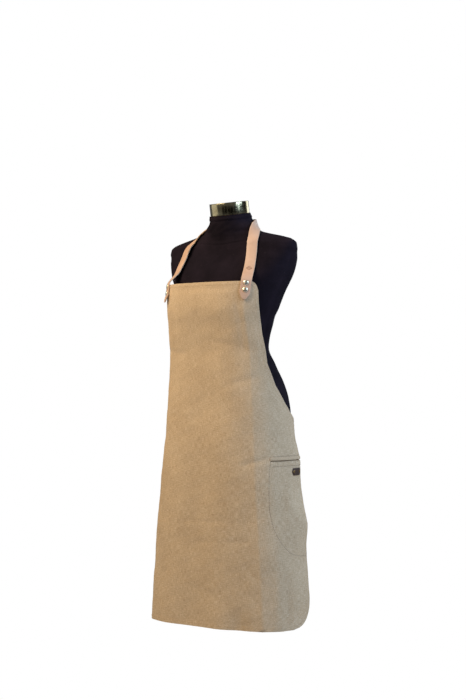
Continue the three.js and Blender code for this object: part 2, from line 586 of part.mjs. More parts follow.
for (const { name, rivets } of waistSeats) {
  rivets.forEach((seat, i) => rivet(apron, `waist_rivet_${name}_${i ? 'lower' : 'upper'}`, WAIST_RIVET, seat,
    { top: 0.1, bottom: -CLOTH_THICKNESS - WAIST_SEAT.gap - STRAP_THICKNESS - 0.1 }, FINISH.silver));
}

/** Round rod swept through path points; a loop closes on itself. Rings stand square to the path. */
function rod(path, radius, loops, segments = 8) {
  const count = path.length;
  return loft(path.map((point, i) => {
    const before = path[loops ? (i + count - 1) % count : Math.max(i - 1, 0)];
    const after = path[loops ? (i + 1) % count : Math.min(i + 1, count - 1)];
    const tangent = after.clone().sub(before).normalize();
    const side = tangent.clone().cross(V(0, 1, 0)).normalize();
    const lift = side.clone().cross(tangent);
    return Array.from({ length: segments }, (_, k) => {
      const turn = (2 * Math.PI * k) / segments;
      return point.clone().addScaledVector(side, radius * Math.cos(turn)).addScaledVector(lift, -radius * Math.sin(turn));
    });
  }), loops);
}
const bend = 4;
const framePath = [[1, 1], [-1, 1], [-1, -1], [1, -1]].flatMap(([sx, sz], quarter) => [0, 30, 60, 90].map((d) => {
  const turn = THREE.MathUtils.degToRad(quarter * 90 + d);
  return V(sx * (BUCKLE.half - bend) + bend * Math.cos(turn), BAR.y,
    WAIST_SEAT.z + sz * (BUCKLE.height - bend) + bend * Math.sin(turn));
}));
add(apron, 'buckle_frame', rod(framePath, BUCKLE.wire, true), FINISH.brass);
const eye = turned([
  [BUCKLE.wire + GAP, -2], [BUCKLE.eye, -2], [BUCKLE.eye, 2], [BUCKLE.wire + GAP, 2], [BUCKLE.wire + GAP, -2],
], 16).translate(BAR.x, BAR.y, WAIST_SEAT.z);
const arm = rod([
  V(BAR.x - BUCKLE.eye + 0.9, BAR.y + 0.6, WAIST_SEAT.z),
  V(-BUCKLE.half - 3, BAR.y + BUCKLE.wire + GAP + BUCKLE.prong + 0.5, WAIST_SEAT.z),
], BUCKLE.prong, false);
add(apron, 'buckle_prong', join(eye, arm), FINISH.brass);
const keeperX = BUCKLE.keeper;
const keeperHalf = BUCKLE.keeperWidth / 2;
const loopInner = [inY - STRAP_THICKNESS / 2 - 0.4, inY + layerPitch + STRAP_THICKNESS / 2 + 0.4];
add(apron, 'strap_keeper', cut(
  box(keeperX - keeperHalf, keeperX + keeperHalf, loopInner[0] - 2, loopInner[1] + 2, ...level(waistHalf + 2.5)),
  [box(keeperX - 20, keeperX + 20, ...loopInner, ...level(waistHalf + 0.5))],
), FINISH.leather);

// Dress form: a solid core in a jersey cover, closed below by a board and above by the neck block.
const boardTop = SOCKET.flangeHeight + GAP + BOARD_THICKNESS;
const coreBottom = boardTop + GAP;
const neckAxis = V(0, -Math.sin(NECK_LEAN), Math.cos(NECK_LEAN));
const neckTop = V(0, NECK_TOP.y, NECK_TOP.z);
const coreTop = NECK_TOP.z - 12;
const inset = COVER_THICKNESS + GAP;
const heights = FORM.map(([z]) => z).filter((z) => z > boardTop + 10 && z < coreTop - 2);
const socketHole = drill(SOCKET.tube + GAP, -1, SOCKET.height + GAP, 24);
add(form, 'torso_core', cut(loft([coreBottom, ...heights, coreTop].map((z) => formRing(z, inset))), [socketHole]),
  FINISH.foam);
const boardRing = formRing(coreBottom, inset).map((q) => V(q.x, q.y, 0));
const onLevel = (z) => boardRing.map((q) => V(q.x, q.y, z));
const screwSeats = Array.from({ length: 4 }, (_, i) => {
  const turn = Math.PI / 4 + (i * Math.PI) / 2;
  return V(SCREW.circle * Math.cos(turn), SCREW.circle * Math.sin(turn), 0);
});
const screwProfile = (clearance) => [
  [0, clearance ? -1 : GAP], [SCREW.head + clearance, clearance ? -1 : GAP], [SCREW.head + clearance, GAP],
  [SCREW.shank + clearance, GAP + SCREW.headDepth], [SCREW.shank + clearance, SCREW.length + clearance],
  [0, SCREW.length + clearance],
];
const screwHoles = screwSeats.map((seat) => turned(screwProfile(GAP), 12).translate(seat.x, seat.y, 0));
add(form, 'base_board', cut(loft([onLevel(SOCKET.flangeHeight + GAP), onLevel(boardTop)]), [socketHole, ...screwHoles]),
  FINISH.wood);
add(form, 'stand_socket', cut(turned([
  [SOCKET.bore, 0], [SOCKET.flange, 0], [SOCKET.flange, SOCKET.flangeHeight], [SOCKET.tube, SOCKET.flangeHeight],
  [SOCKET.tube, SOCKET.height], [0, SOCKET.height], [0, SOCKET.height - SOCKET.roof],
  [SOCKET.bore, SOCKET.height - SOCKET.roof], [SOCKET.bore, 0],
], 32), screwHoles), FINISH.steel);
screwSeats.forEach((seat, i) => {
  const slot = box(-4, 4, -0.5, 0.5, GAP - 1, GAP + 0.9);
  add(form, `base_screw_${i + 1}`, cut(turned(screwProfile(0), 12), [slot]), FINISH.steel, seat);
});
const coverHeights = [coreBottom, ...heights, coreTop, NECK_TOP.z - GAP];
const skin = (depth) => [SOCKET.flangeHeight + GAP, ...coverHeights].map((z, i) => (
  i ? formRing(z, depth) : formRing(coreBottom, depth).map((q) => V(q.x, q.y, z))));
add(form, 'torso_cover', loft([...skin(0), ...skin(COVER_THICKNESS).reverse()], true), FINISH.jersey);

// Neck: turned block in the top of the cover, and the metal cap that drops into it on a spigot.
const blockLow = -(NECK_TOP.z - coreTop) + GAP;
const neckInner = FORM.at(-1)[1] * BUST_SCALE - inset - 0.4;
add(form, 'neck_block', turned([
  [0, blockLow], [neckInner, blockLow], [neckInner, -GAP], [SPIGOT_RADIUS + GAP, -GAP],
  [SPIGOT_RADIUS + GAP, blockLow + 2], [0, blockLow + 2],
], 32), FINISH.wood, neckTop, neckAxis);
const capInner = CAP.radius - CAP.wall;
const capRoof = CAP.height - CAP.roof;
add(form, 'neck_cap', turned([
  [0, capRoof], [capInner, capRoof], [capInner, 0], [CAP.radius, 0], [CAP.radius, CAP.height - 2.5],
  [CAP.radius - 0.8, CAP.height - 0.8], [CAP.radius - 2.5, CAP.height], [0, CAP.height],
], 40), FINISH.brass, neckTop, neckAxis);
add(form, 'neck_spigot', turned([
  [0, blockLow + 2.4], [SPIGOT_RADIUS, blockLow + 2.4], [SPIGOT_RADIUS, capRoof - 4], [14, capRoof - 4],
  [14, capRoof - GAP], [0, capRoof - GAP],
], 20), FINISH.steel, neckTop, neckAxis);

const object = new THREE.Group();
object.add(form, apron);
export default object;
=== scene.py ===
"""Looks of a canvas bib apron with leather straps, worn by a jersey-covered dress form."""

from __future__ import annotations

import json
import logging
import math
from dataclasses import dataclass, field
from enum import Enum
from typing import Callable, Iterable, Sequence

import bpy
import numpy as np
from mathutils import Matrix, Vector

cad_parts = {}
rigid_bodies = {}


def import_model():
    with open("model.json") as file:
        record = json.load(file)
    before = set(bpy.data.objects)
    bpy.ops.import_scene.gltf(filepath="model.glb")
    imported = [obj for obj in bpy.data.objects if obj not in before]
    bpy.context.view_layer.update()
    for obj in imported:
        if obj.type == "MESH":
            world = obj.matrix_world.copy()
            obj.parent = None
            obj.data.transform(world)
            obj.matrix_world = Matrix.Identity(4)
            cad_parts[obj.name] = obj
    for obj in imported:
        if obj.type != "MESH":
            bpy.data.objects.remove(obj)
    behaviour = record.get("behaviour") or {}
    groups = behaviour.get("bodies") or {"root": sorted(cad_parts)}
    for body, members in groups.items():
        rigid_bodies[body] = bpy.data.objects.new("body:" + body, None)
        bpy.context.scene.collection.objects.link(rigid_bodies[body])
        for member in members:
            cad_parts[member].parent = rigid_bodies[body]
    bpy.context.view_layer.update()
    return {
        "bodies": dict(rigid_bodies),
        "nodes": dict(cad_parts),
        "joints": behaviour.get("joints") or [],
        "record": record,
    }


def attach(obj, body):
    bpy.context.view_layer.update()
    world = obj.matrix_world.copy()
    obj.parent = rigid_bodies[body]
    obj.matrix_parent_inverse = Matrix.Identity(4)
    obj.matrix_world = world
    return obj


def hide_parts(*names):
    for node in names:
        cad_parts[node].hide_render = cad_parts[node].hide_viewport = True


log = logging.getLogger("apron")
MM = 0.001
Array = np.ndarray


# ------------------------------------------------------------------ shared geometry helpers
def unit(v: Array) -> Array:
    """Vectors scaled to length one along the last axis."""
    return v / np.maximum(np.linalg.norm(v, axis=-1, keepdims=True), 1e-12)


def pchip(x: Array, table: Array) -> Callable[[Array], Array]:
    """Monotone cubic interpolation through the rows of a table.

    Args:
        x: increasing positions of the rows.
        table: one row of values for each position.

    Returns:
        A function from positions to interpolated rows.
    """
    h = np.diff(x)[:, None]
    d = np.diff(table, axis=0) / h
    slope = np.vstack([d[:1], np.zeros_like(d[1:]), d[-1:]])
    w0, w1 = 2 * h[1:] + h[:-1], h[1:] + 2 * h[:-1]
    same = d[:-1] * d[1:] > 0
    safe0, safe1 = np.where(same, d[:-1], 1), np.where(same, d[1:], 1)
    slope[1:-1] = np.where(same, (w0 + w1) / (w0 / safe0 + w1 / safe1), 0)

    def evaluate(q: Array) -> Array:
        q = np.atleast_1d(np.asarray(q, float))
        i = np.clip(np.searchsorted(x, q) - 1, 0, len(x) - 2)
        step = h[i]
        t = ((q - x[i])[:, None]) / step
        a, b = table[i], table[i + 1]
        return ((2 * t**3 - 3 * t**2 + 1) * a + (t**3 - 2 * t**2 + t) * step * slope[i]
                + (3 * t**2 - 2 * t**3) * b + (t**3 - t**2) * step * slope[i + 1])

    return evaluate


def smoothstep(low: float, high: float, x: Array) -> Array:
    """Smooth 0 to 1 ramp of x between low and high."""
    t = np.clip((x - low) / (high - low), 0, 1)
    return t * t * (3 - 2 * t)


def arc_length(points: Array) -> Array:
    """Distance along a line of points, from its first point to each of them."""
    return np.concatenate([[0], np.cumsum(np.linalg.norm(np.diff(points, axis=0), axis=1))])


def oval_radius(cx: Array, cy: Array, half_width: Array, depth: Array, power: Array) -> Array:
    """Distance from the middle of a rounded oval to its outline, along the directions (cx, cy)."""
    return ((np.abs(cx) / half_width) ** power + (np.abs(cy) / depth) ** power) ** (-1 / power)


def deselect() -> None:
    """Clears the selection, because operators act on all that is selected."""
    if bpy.context.object and bpy.context.object.mode != "OBJECT":
        bpy.ops.object.mode_set(mode="OBJECT")
    bpy.ops.object.select_all(action="DESELECT")


def activate(obj: bpy.types.Object) -> None:
    """Makes one object the only selected and active one."""
    deselect()
    obj.select_set(True)
    bpy.context.view_layer.objects.active = obj


def finish_modifiers(obj: bpy.types.Object) -> None:
    """Applies every modifier of the object in order."""
    activate(obj)
    for modifier in list(obj.modifiers):
        bpy.ops.object.modifier_apply(modifier=modifier.name)


def settle(obj: bpy.types.Object) -> None:
    """Moves the object's place into its mesh, so the object sits at the origin unturned."""
    activate(obj)
    bpy.ops.object.transform_apply(location=True, rotation=True, scale=True)


def place_vertices(obj: bpy.types.Object, points: Array) -> None:
    """Writes vertex positions, given in millimetres."""
    obj.data.vertices.foreach_set("co", np.ascontiguousarray(points * MM, np.float32).ravel())
    obj.data.update()


def read_vertices(obj: bpy.types.Object) -> Array:
    """Vertex positions in millimetres."""
    co = np.empty(len(obj.data.vertices) * 3, np.float32)
    obj.data.vertices.foreach_get("co", co)
    return co.reshape(-1, 3).astype(float) / MM


def grid_sheet(name: str, columns: int, rows: int) -> tuple[bpy.types.Object, Array, Array]:
    """A flat primitive grid, whose vertices are told apart by their column and row.

    Args:
        name: name of the new object.
        columns: number of cells across.
        rows: number of cells up.

    Returns:
        The object, and each vertex's share across and share up, from 0 to 1.
    """
    deselect()
    bpy.ops.mesh.primitive_grid_add(x_subdivisions=columns, y_subdivisions=rows, size=2)
    obj = bpy.context.object
    obj.name = obj.data.name = name
    co = read_vertices(obj) * MM
    across = np.round((co[:, 0] + 1) / 2 * columns).astype(int)
    up = np.round((co[:, 1] + 1) / 2 * rows).astype(int)
    return obj, across, up


def write_uv(obj: bpy.types.Object, per_vertex: Array) -> None:
    """Stores a UV map from one pair of values for each vertex, in metres."""
    layer = obj.data.uv_layers.get("Weave") or obj.data.uv_layers.new(name="Weave")
    loops = np.empty(len(obj.data.loops), np.int32)
    obj.data.loops.foreach_get("vertex_index", loops)
    layer.data.foreach_set("uv", np.ascontiguousarray(per_vertex[loops], np.float32).ravel())


def weld(obj: bpy.types.Object, cap_ends: bool) -> None:
    """Joins doubled vertices, closes open ends where asked and makes the faces agree."""
    activate(obj)
    bpy.ops.object.mode_set(mode="EDIT")
    bpy.ops.mesh.select_all(action="SELECT")
    bpy.ops.mesh.remove_doubles(threshold=1e-7)
    if cap_ends:
        bpy.ops.mesh.fill_holes(sides=0)
        bpy.ops.mesh.select_all(action="SELECT")
    bpy.ops.mesh.normals_make_consistent(inside=False)
    bpy.ops.object.mode_set(mode="OBJECT")


def smooth_shade(obj: bpy.types.Object, degrees: float | None = None) -> None:
    """Shades smooth, keeping edges sharper than the angle where one is given."""
    activate(obj)
    bpy.ops.object.shade_smooth()
    if degrees is not None:
        bpy.ops.object.shade_smooth_by_angle(angle=math.radians(degrees))


# ------------------------------------------------------------------ material building
class Wire:
    """A float output that ordinary arithmetic turns into Math nodes."""

    def __init__(self, tree: bpy.types.NodeTree, socket: bpy.types.NodeSocket) -> None:
        """Keeps the tree and the output socket."""
        self.tree = tree
        self.socket = socket

    def math(self, operation: str, *others: "Wire | float") -> "Wire":
        """Feeds this value and up to two others into a Math node.

        Args:
            operation: the Math node's operation.
            others: further operands, wires or plain numbers.

        Returns:
            The result as a wire.
        """
        node = self.tree.nodes.new("ShaderNodeMath")
        node.operation = operation
        self.tree.links.new(self.socket, node.inputs[0])
        for index, other in enumerate(others, start=1):
            if isinstance(other, Wire):
                self.tree.links.new(other.socket, node.inputs[index])
            else:
                node.inputs[index].default_value = other
        return Wire(self.tree, node.outputs[0])

    def __add__(self, other: "Wire | float") -> "Wire":
        """Sum."""
        return self.math("ADD", other)

    def __sub__(self, other: "Wire | float") -> "Wire":
        """Difference."""
        return self.math("SUBTRACT", other)

    def __mul__(self, other: "Wire | float") -> "Wire":
        """Product."""
        return self.math("MULTIPLY", other)

    def sine(self) -> "Wire":
        """Sine of the value in radians."""
        return self.math("SINE")

    def above(self, threshold: "Wire | float") -> "Wire":
        """One where the value is greater than the threshold."""
        return self.math("GREATER_THAN", threshold)


Color = tuple[float, float, float]


def srgb(r: int, g: int, b: int) -> Color:
    """Display colour values, 0 to 255, as linear light."""
    def linear(c: int) -> float:
        v = c / 255
        return v / 12.92 if v <= 0.04045 else ((v + 0.055) / 1.055) ** 2.4

    return linear(r), linear(g), linear(b)


class Dye:
    """One node material under construction, with its Principled shader."""

    def __init__(self, name: str) -> None:
        """Makes the material with a fresh Principled shader."""
        self.material = bpy.data.materials.new(name)
        self.material.use_nodes = True
        self.tree = self.material.node_tree
        self.tree.nodes.clear()
        self.output = self.tree.nodes.new("ShaderNodeOutputMaterial")
        self.shader = self.tree.nodes.new("ShaderNodeBsdfPrincipled")
        self.tree.links.new(self.shader.outputs[0], self.output.inputs[0])

    def node(self, kind: str, inputs: dict | None = None, **settings: object) -> bpy.types.Node:
        """Adds a node, sets its properties and fills or links its inputs.

        Args:
            kind: node type without the ShaderNode prefix.
            inputs: input name or index to a socket, wire or plain value.
            settings: properties of the node.

        Returns:
            The new node.
        """
        node = self.tree.nodes.new("ShaderNode" + kind)
        for key, value in settings.items():
            setattr(node, key, value)
        for key, value in (inputs or {}).items():
            self.feed(node.inputs[key], value)
        return node

    def feed(self, target: bpy.types.NodeSocket, value: object) -> None:
        """Links or sets one input."""
        if isinstance(value, Wire):
            self.tree.links.new(value.socket, target)
        elif isinstance(value, bpy.types.NodeSocket):
            self.tree.links.new(value, target)
        elif isinstance(value, tuple) and len(value) == 3 and target.type == "RGBA":
            target.default_value = (*value, 1.0)
        else:
            target.default_value = value

    def wire(self, node: bpy.types.Node, output: str | int = 0) -> Wire:
        """One output of a node as a wire."""
        return Wire(self.tree, node.outputs[output])

    def constants(self, **values: object) -> None:
        """Sets plain values on the shader, with underscores for spaces in socket names."""
        for key, value in values.items():
            self.feed(self.shader.inputs[key.replace("_", " ")], value)

    def place(self, source: str = "Object", scale: Sequence[float] = (1, 1, 1)) -> bpy.types.NodeSocket:
        """Mapped texture coordinates.

        Args:
            source: Object, or UV for the piece's own map.
            scale: multipliers for each axis.

        Returns:
            The coordinate socket.
        """
        coordinate = self.node("TexCoord")
        mapping = self.node("Mapping", {"Vector": coordinate.outputs[source], "Scale": tuple(scale)})
        return mapping.outputs[0]

    def noise(self, where: bpy.types.NodeSocket, scale: float, detail: float = 2, rough: float = 0.5) -> Wire:
        """Noise value at a scale in turns per metre."""
        node = self.node("TexNoise", {"Vector": where, "Scale": scale, "Detail": detail, "Roughness": rough})
        return self.wire(node, "Fac")

    def ramp(self, value: Wire, stops: Iterable[tuple[float, Color]]) -> bpy.types.NodeSocket:
        """Colour ramp over a value."""
        node = self.node("ValToRGB", {0: value})
        elements = node.color_ramp.elements
        for index, (position, color) in enumerate(stops):
            element = elements[index] if index < 2 else elements.new(position)
            element.position = position
            element.color = (*color, 1)
        return node.outputs[0]

    def blend(self, share: Wire | float, first: object, second: object,
              mode: str = "MIX") -> bpy.types.NodeSocket:
        """Mixes two colours by a share."""
        node = self.node("Mix", data_type="RGBA", blend_type=mode)
        self.feed(node.inputs[0], share)
        self.feed(node.inputs[6], first)
        self.feed(node.inputs[7], second)
        return node.outputs[2]

    def bump(self, height: Wire, distance: float, strength: float = 1.0,
             under: bpy.types.NodeSocket | None = None) -> bpy.types.NodeSocket:
        """Bump normal from a height, stacked on another where one is given."""
        node = self.node("Bump", {"Height": height, "Distance": distance, "Strength": strength})
        if under is not None:
            self.feed(node.inputs["Normal"], under)
        return node.outputs[0]


@dataclass(frozen=True)
class Canvas:
    """Tan melange canvas in a plain weave, read along the cloth's own threads."""

    warp: Color = srgb(200, 173, 142)
    weft: Color = srgb(172, 144, 113)
    fleck: Color = srgb(222, 199, 170)
    pitch_mm: float = 0.95

    def build(self, name: str) -> bpy.types.Material:
        """Builds the material under a name."""
        dye = Dye(name)
        coordinate = dye.node("TexCoord")
        split = dye.node("SeparateXYZ", {0: coordinate.outputs["UV"]})
        turns = 2 * math.pi / (self.pitch_mm * MM)
        across, up = dye.wire(split, 0) * turns, dye.wire(split, 1) * turns
        over = (across * 0.5).sine() * (up * 0.5).sine()
        threads = ((across.sine() + up.sine()) * 0.25 + over * 0.25) + 0.5
        uv = coordinate.outputs["UV"]
        along = dye.node("Mapping", {"Vector": uv, "Scale": (640.0, 60.0, 1.0)}).outputs[0]
        cross = dye.node("Mapping", {"Vector": uv, "Scale": (60.0, 640.0, 1.0)}).outputs[0]
        warp_slub = dye.noise(along, 1.0, 1, 0.5)
        weft_slub = dye.noise(cross, 1.0, 1, 0.5)
        melange = dye.noise(uv, 380.0, 1, 0.5)
        cloudy = dye.noise(uv, 9.0, 3, 0.55)
        mixture = (warp_slub + weft_slub) * 0.62 + melange * 0.55 + (over * 0.04) - 0.4
        woven = dye.ramp(mixture, [(0.22, self.weft), (0.5, self.warp), (0.78, self.fleck)])
        tone = dye.ramp(cloudy, [(0.3, (0.90, 0.885, 0.87)), (0.7, (1.0, 1.0, 1.0))])
        color = dye.blend(1.0, woven, tone, "MULTIPLY")
        dye.feed(dye.shader.inputs["Base Color"], color)
        coarse = dye.bump(dye.noise(uv, 160.0, 3, 0.6), 0.0003, 0.3)
        dye.feed(dye.shader.inputs["Normal"], dye.bump(threads, 0.0002, 0.5, coarse))
        dye.constants(Roughness=0.95)
        dye.shader.inputs["Specular IOR Level"].default_value = 0.1
        return dye.material


@dataclass(frozen=True)
class Hide:
    """Vegetable tanned leather with raw, lighter cut edges stored in the Edge attribute."""

    face: Color = srgb(200, 162, 138)
    deep: Color = srgb(184, 142, 116)
    edge: Color = srgb(214, 182, 156)
    roughness: float = 0.5
    coat: float = 0.08

    def build(self, name: str) -> bpy.types.Material:
        """Builds the material under a name."""
        dye = Dye(name)
        where = dye.place()
        pores = dye.node("TexVoronoi", {"Vector": where, "Scale": 1100.0})
        patch = dye.noise(where, 26.0, 4, 0.6)
        fine = dye.noise(where, 420.0, 3, 0.6)
        face = dye.ramp(patch * 0.75 + fine * 0.25, [(0.32, self.deep), (0.62, self.face)])
        cut = dye.wire(dye.node("Attribute", attribute_name="Edge"), "Fac")
        color = dye.blend(cut, face, self.edge)
        dye.feed(dye.shader.inputs["Base Color"], color)
        rough = (patch * 0.16) + (self.roughness - 0.08) + cut * 0.25
        dye.feed(dye.shader.inputs["Roughness"], rough)
        grain = dye.bump(dye.wire(pores, "Distance"), 0.00018, 0.45)
        dye.feed(dye.shader.inputs["Normal"], dye.bump(fine, 0.0003, 0.3, grain))
        dye.constants(Coat_Weight=self.coat, Coat_Roughness=0.35)
        dye.shader.inputs["Specular IOR Level"].default_value = 0.35
        return dye.material


@dataclass(frozen=True)
class Metal:
    """Metal with fine wear, and brushing turned about the vertical where asked."""

    color: Color
    dark: Color
    roughness: float = 0.2
    brushed: float = 0.0
    wear: float = 0.1

    def build(self, name: str) -> bpy.types.Material:
        """Builds the material under a name."""
        dye = Dye(name)
        where = dye.place()
        cloud = dye.noise(where, 60.0, 4, 0.6)
        tone = dye.ramp(cloud, [(0.3, self.dark), (0.62, self.color)])
        dye.feed(dye.shader.inputs["Base Color"], tone)
        dye.feed(dye.shader.inputs["Roughness"], cloud * self.wear + (self.roughness - self.wear / 2))
        height = dye.noise(where, 900.0, 2, 0.5)
        if self.brushed:
            rings = dye.node("Mapping", {"Vector": where, "Scale": (8.0, 8.0, 2600.0)}).outputs[0]
            height = dye.noise(rings, 1.0, 3, 0.65) * self.brushed + height * 0.2
        dye.feed(dye.shader.inputs["Normal"], dye.bump(height, 0.00006, 0.5))
        dye.constants(Metallic=1.0)
        return dye.material


@dataclass(frozen=True)
class Jersey:
    """Black knitted cover stretched over the form."""

    dark: Color = srgb(15, 12, 16)
    light: Color = srgb(38, 30, 38)

    def build(self, name: str) -> bpy.types.Material:
        """Builds the material under a name."""
        dye = Dye(name)
        where = dye.place()
        split = dye.node("SeparateXYZ", {0: where})
        ribs = (dye.wire(split, 2) * (2 * math.pi / 0.0016)).sine()
        knit = dye.noise(where, 700.0, 3, 0.6)
        cloud = dye.noise(where, 14.0, 3, 0.6)
        color = dye.ramp(cloud * 0.6 + knit * 0.4, [(0.3, self.dark), (0.7, self.light)])
        lint = dye.noise(where, 240.0, 1, 0.4).above(0.79)
        dye.feed(dye.shader.inputs["Base Color"], dye.blend(lint * 0.2, color, srgb(110, 100, 104)))
        dye.feed(dye.shader.inputs["Normal"], dye.bump(ribs * 0.3 + knit, 0.0003, 0.35))
        dye.constants(Roughness=0.95)
        dye.shader.inputs["Specular IOR Level"].default_value = 0.04
        return dye.material


@dataclass(frozen=True)
class Plain:
    """Quiet finish of a hidden piece: a base tone with a soft second tone and a fine grain."""

    color: Color
    second: Color
    roughness: float = 0.6
    grain: tuple[float, float, float] = (60.0, 60.0, 60.0)
    metallic: float = 0.0

    def build(self, name: str) -> bpy.types.Material:
        """Builds the material under a name."""
        dye = Dye(name)
        where = dye.place(scale=self.grain)
        figure = dye.noise(where, 1.0, 4, 0.6)
        dye.feed(dye.shader.inputs["Base Color"], dye.ramp(figure, [(0.3, self.color), (0.7, self.second)]))
        dye.feed(dye.shader.inputs["Roughness"], figure * 0.15 + (self.roughness - 0.07))
        dye.feed(dye.shader.inputs["Normal"], dye.bump(figure, 0.0003, 0.3))
        dye.constants(Metallic=self.metallic)
        return dye.material


@dataclass(frozen=True)
class Thread:
    """Twisted sewing thread."""

    color: Color = srgb(150, 118, 84)

    def build(self, name: str) -> bpy.types.Material:
        """Builds the material under a name."""
        dye = Dye(name)
        where = dye.place()
        fibre = dye.noise(where, 2500.0, 2, 0.5)
        light = tuple(min(1.0, c * 1.35) for c in self.color)
        dye.feed(dye.shader.inputs["Base Color"], dye.ramp(fibre, [(0.3, self.color), (0.7, light)]))
        dye.feed(dye.shader.inputs["Normal"], dye.bump(fibre, 0.0001, 0.5))
        dye.constants(Roughness=0.7, Sheen_Weight=0.2)
        return dye.material


class Finish(Enum):
    """The finishes of the apron and the form."""

    CANVAS = Canvas()
    LEATHER = Hide()
    DARK_LEATHER = Hide(srgb(74, 54, 44), srgb(50, 36, 30), srgb(64, 46, 36), 0.42, 0.2)
    NICKEL = Metal(srgb(250, 244, 228), srgb(226, 206, 164), 0.34, 0.0, 0.1)
    ANTIQUE = Metal(srgb(204, 164, 100), srgb(120, 88, 50), 0.3, 0.0, 0.15)
    BRASS = Metal(srgb(196, 170, 116), srgb(150, 124, 76), 0.2, 0.0, 0.12)
    CAP_BRASS = Metal(srgb(206, 194, 156), srgb(150, 138, 106), 0.16, 1.0, 0.12)
    JERSEY = Jersey()
    THREAD = Thread()
    # Darker pocket thread: partly the thread's own colour, partly painted shade standing in for the shadow
    # line of the puckered seam.
    DARK_THREAD_AND_SEAM_SHADE = Thread(srgb(88, 58, 38))
    STAMP = Plain(srgb(150, 104, 80), srgb(118, 80, 60), 0.7, (900.0, 900.0, 900.0))
    FOAM = Plain(srgb(214, 206, 190), srgb(198, 190, 176), 0.85)
    WOOD = Plain(srgb(178, 138, 94), srgb(150, 110, 70), 0.55, (9.0, 90.0, 90.0))
    STEEL = Plain(srgb(150, 154, 160), srgb(118, 122, 128), 0.35, (90.0, 90.0, 90.0), 1.0)

    def material(self) -> bpy.types.Material:
        """The finish's material, made the first time it is asked for."""
        name = f"{self.name.lower()}_finish"
        return bpy.data.materials.get(name) or self.value.build(name)


def dress(obj: bpy.types.Object, finish: Finish, body: str,
          nodes: Sequence[str] = ()) -> bpy.types.Object:
    """Gives a piece its finish, its body and the solids that it stands for.

    Args:
        obj: the finished piece.
        finish: what it is made of.
        body: body that it moves with.
        nodes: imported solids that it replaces.

    Returns:
        The same piece.
    """
    obj.data.materials.clear()
    obj.data.materials.append(finish.material())
    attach(obj, body)
    if nodes:
        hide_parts(*nodes)
    log.info("%s: %d faces, %s on %s", obj.name, len(obj.data.polygons), finish.name.lower(), body)
    return obj


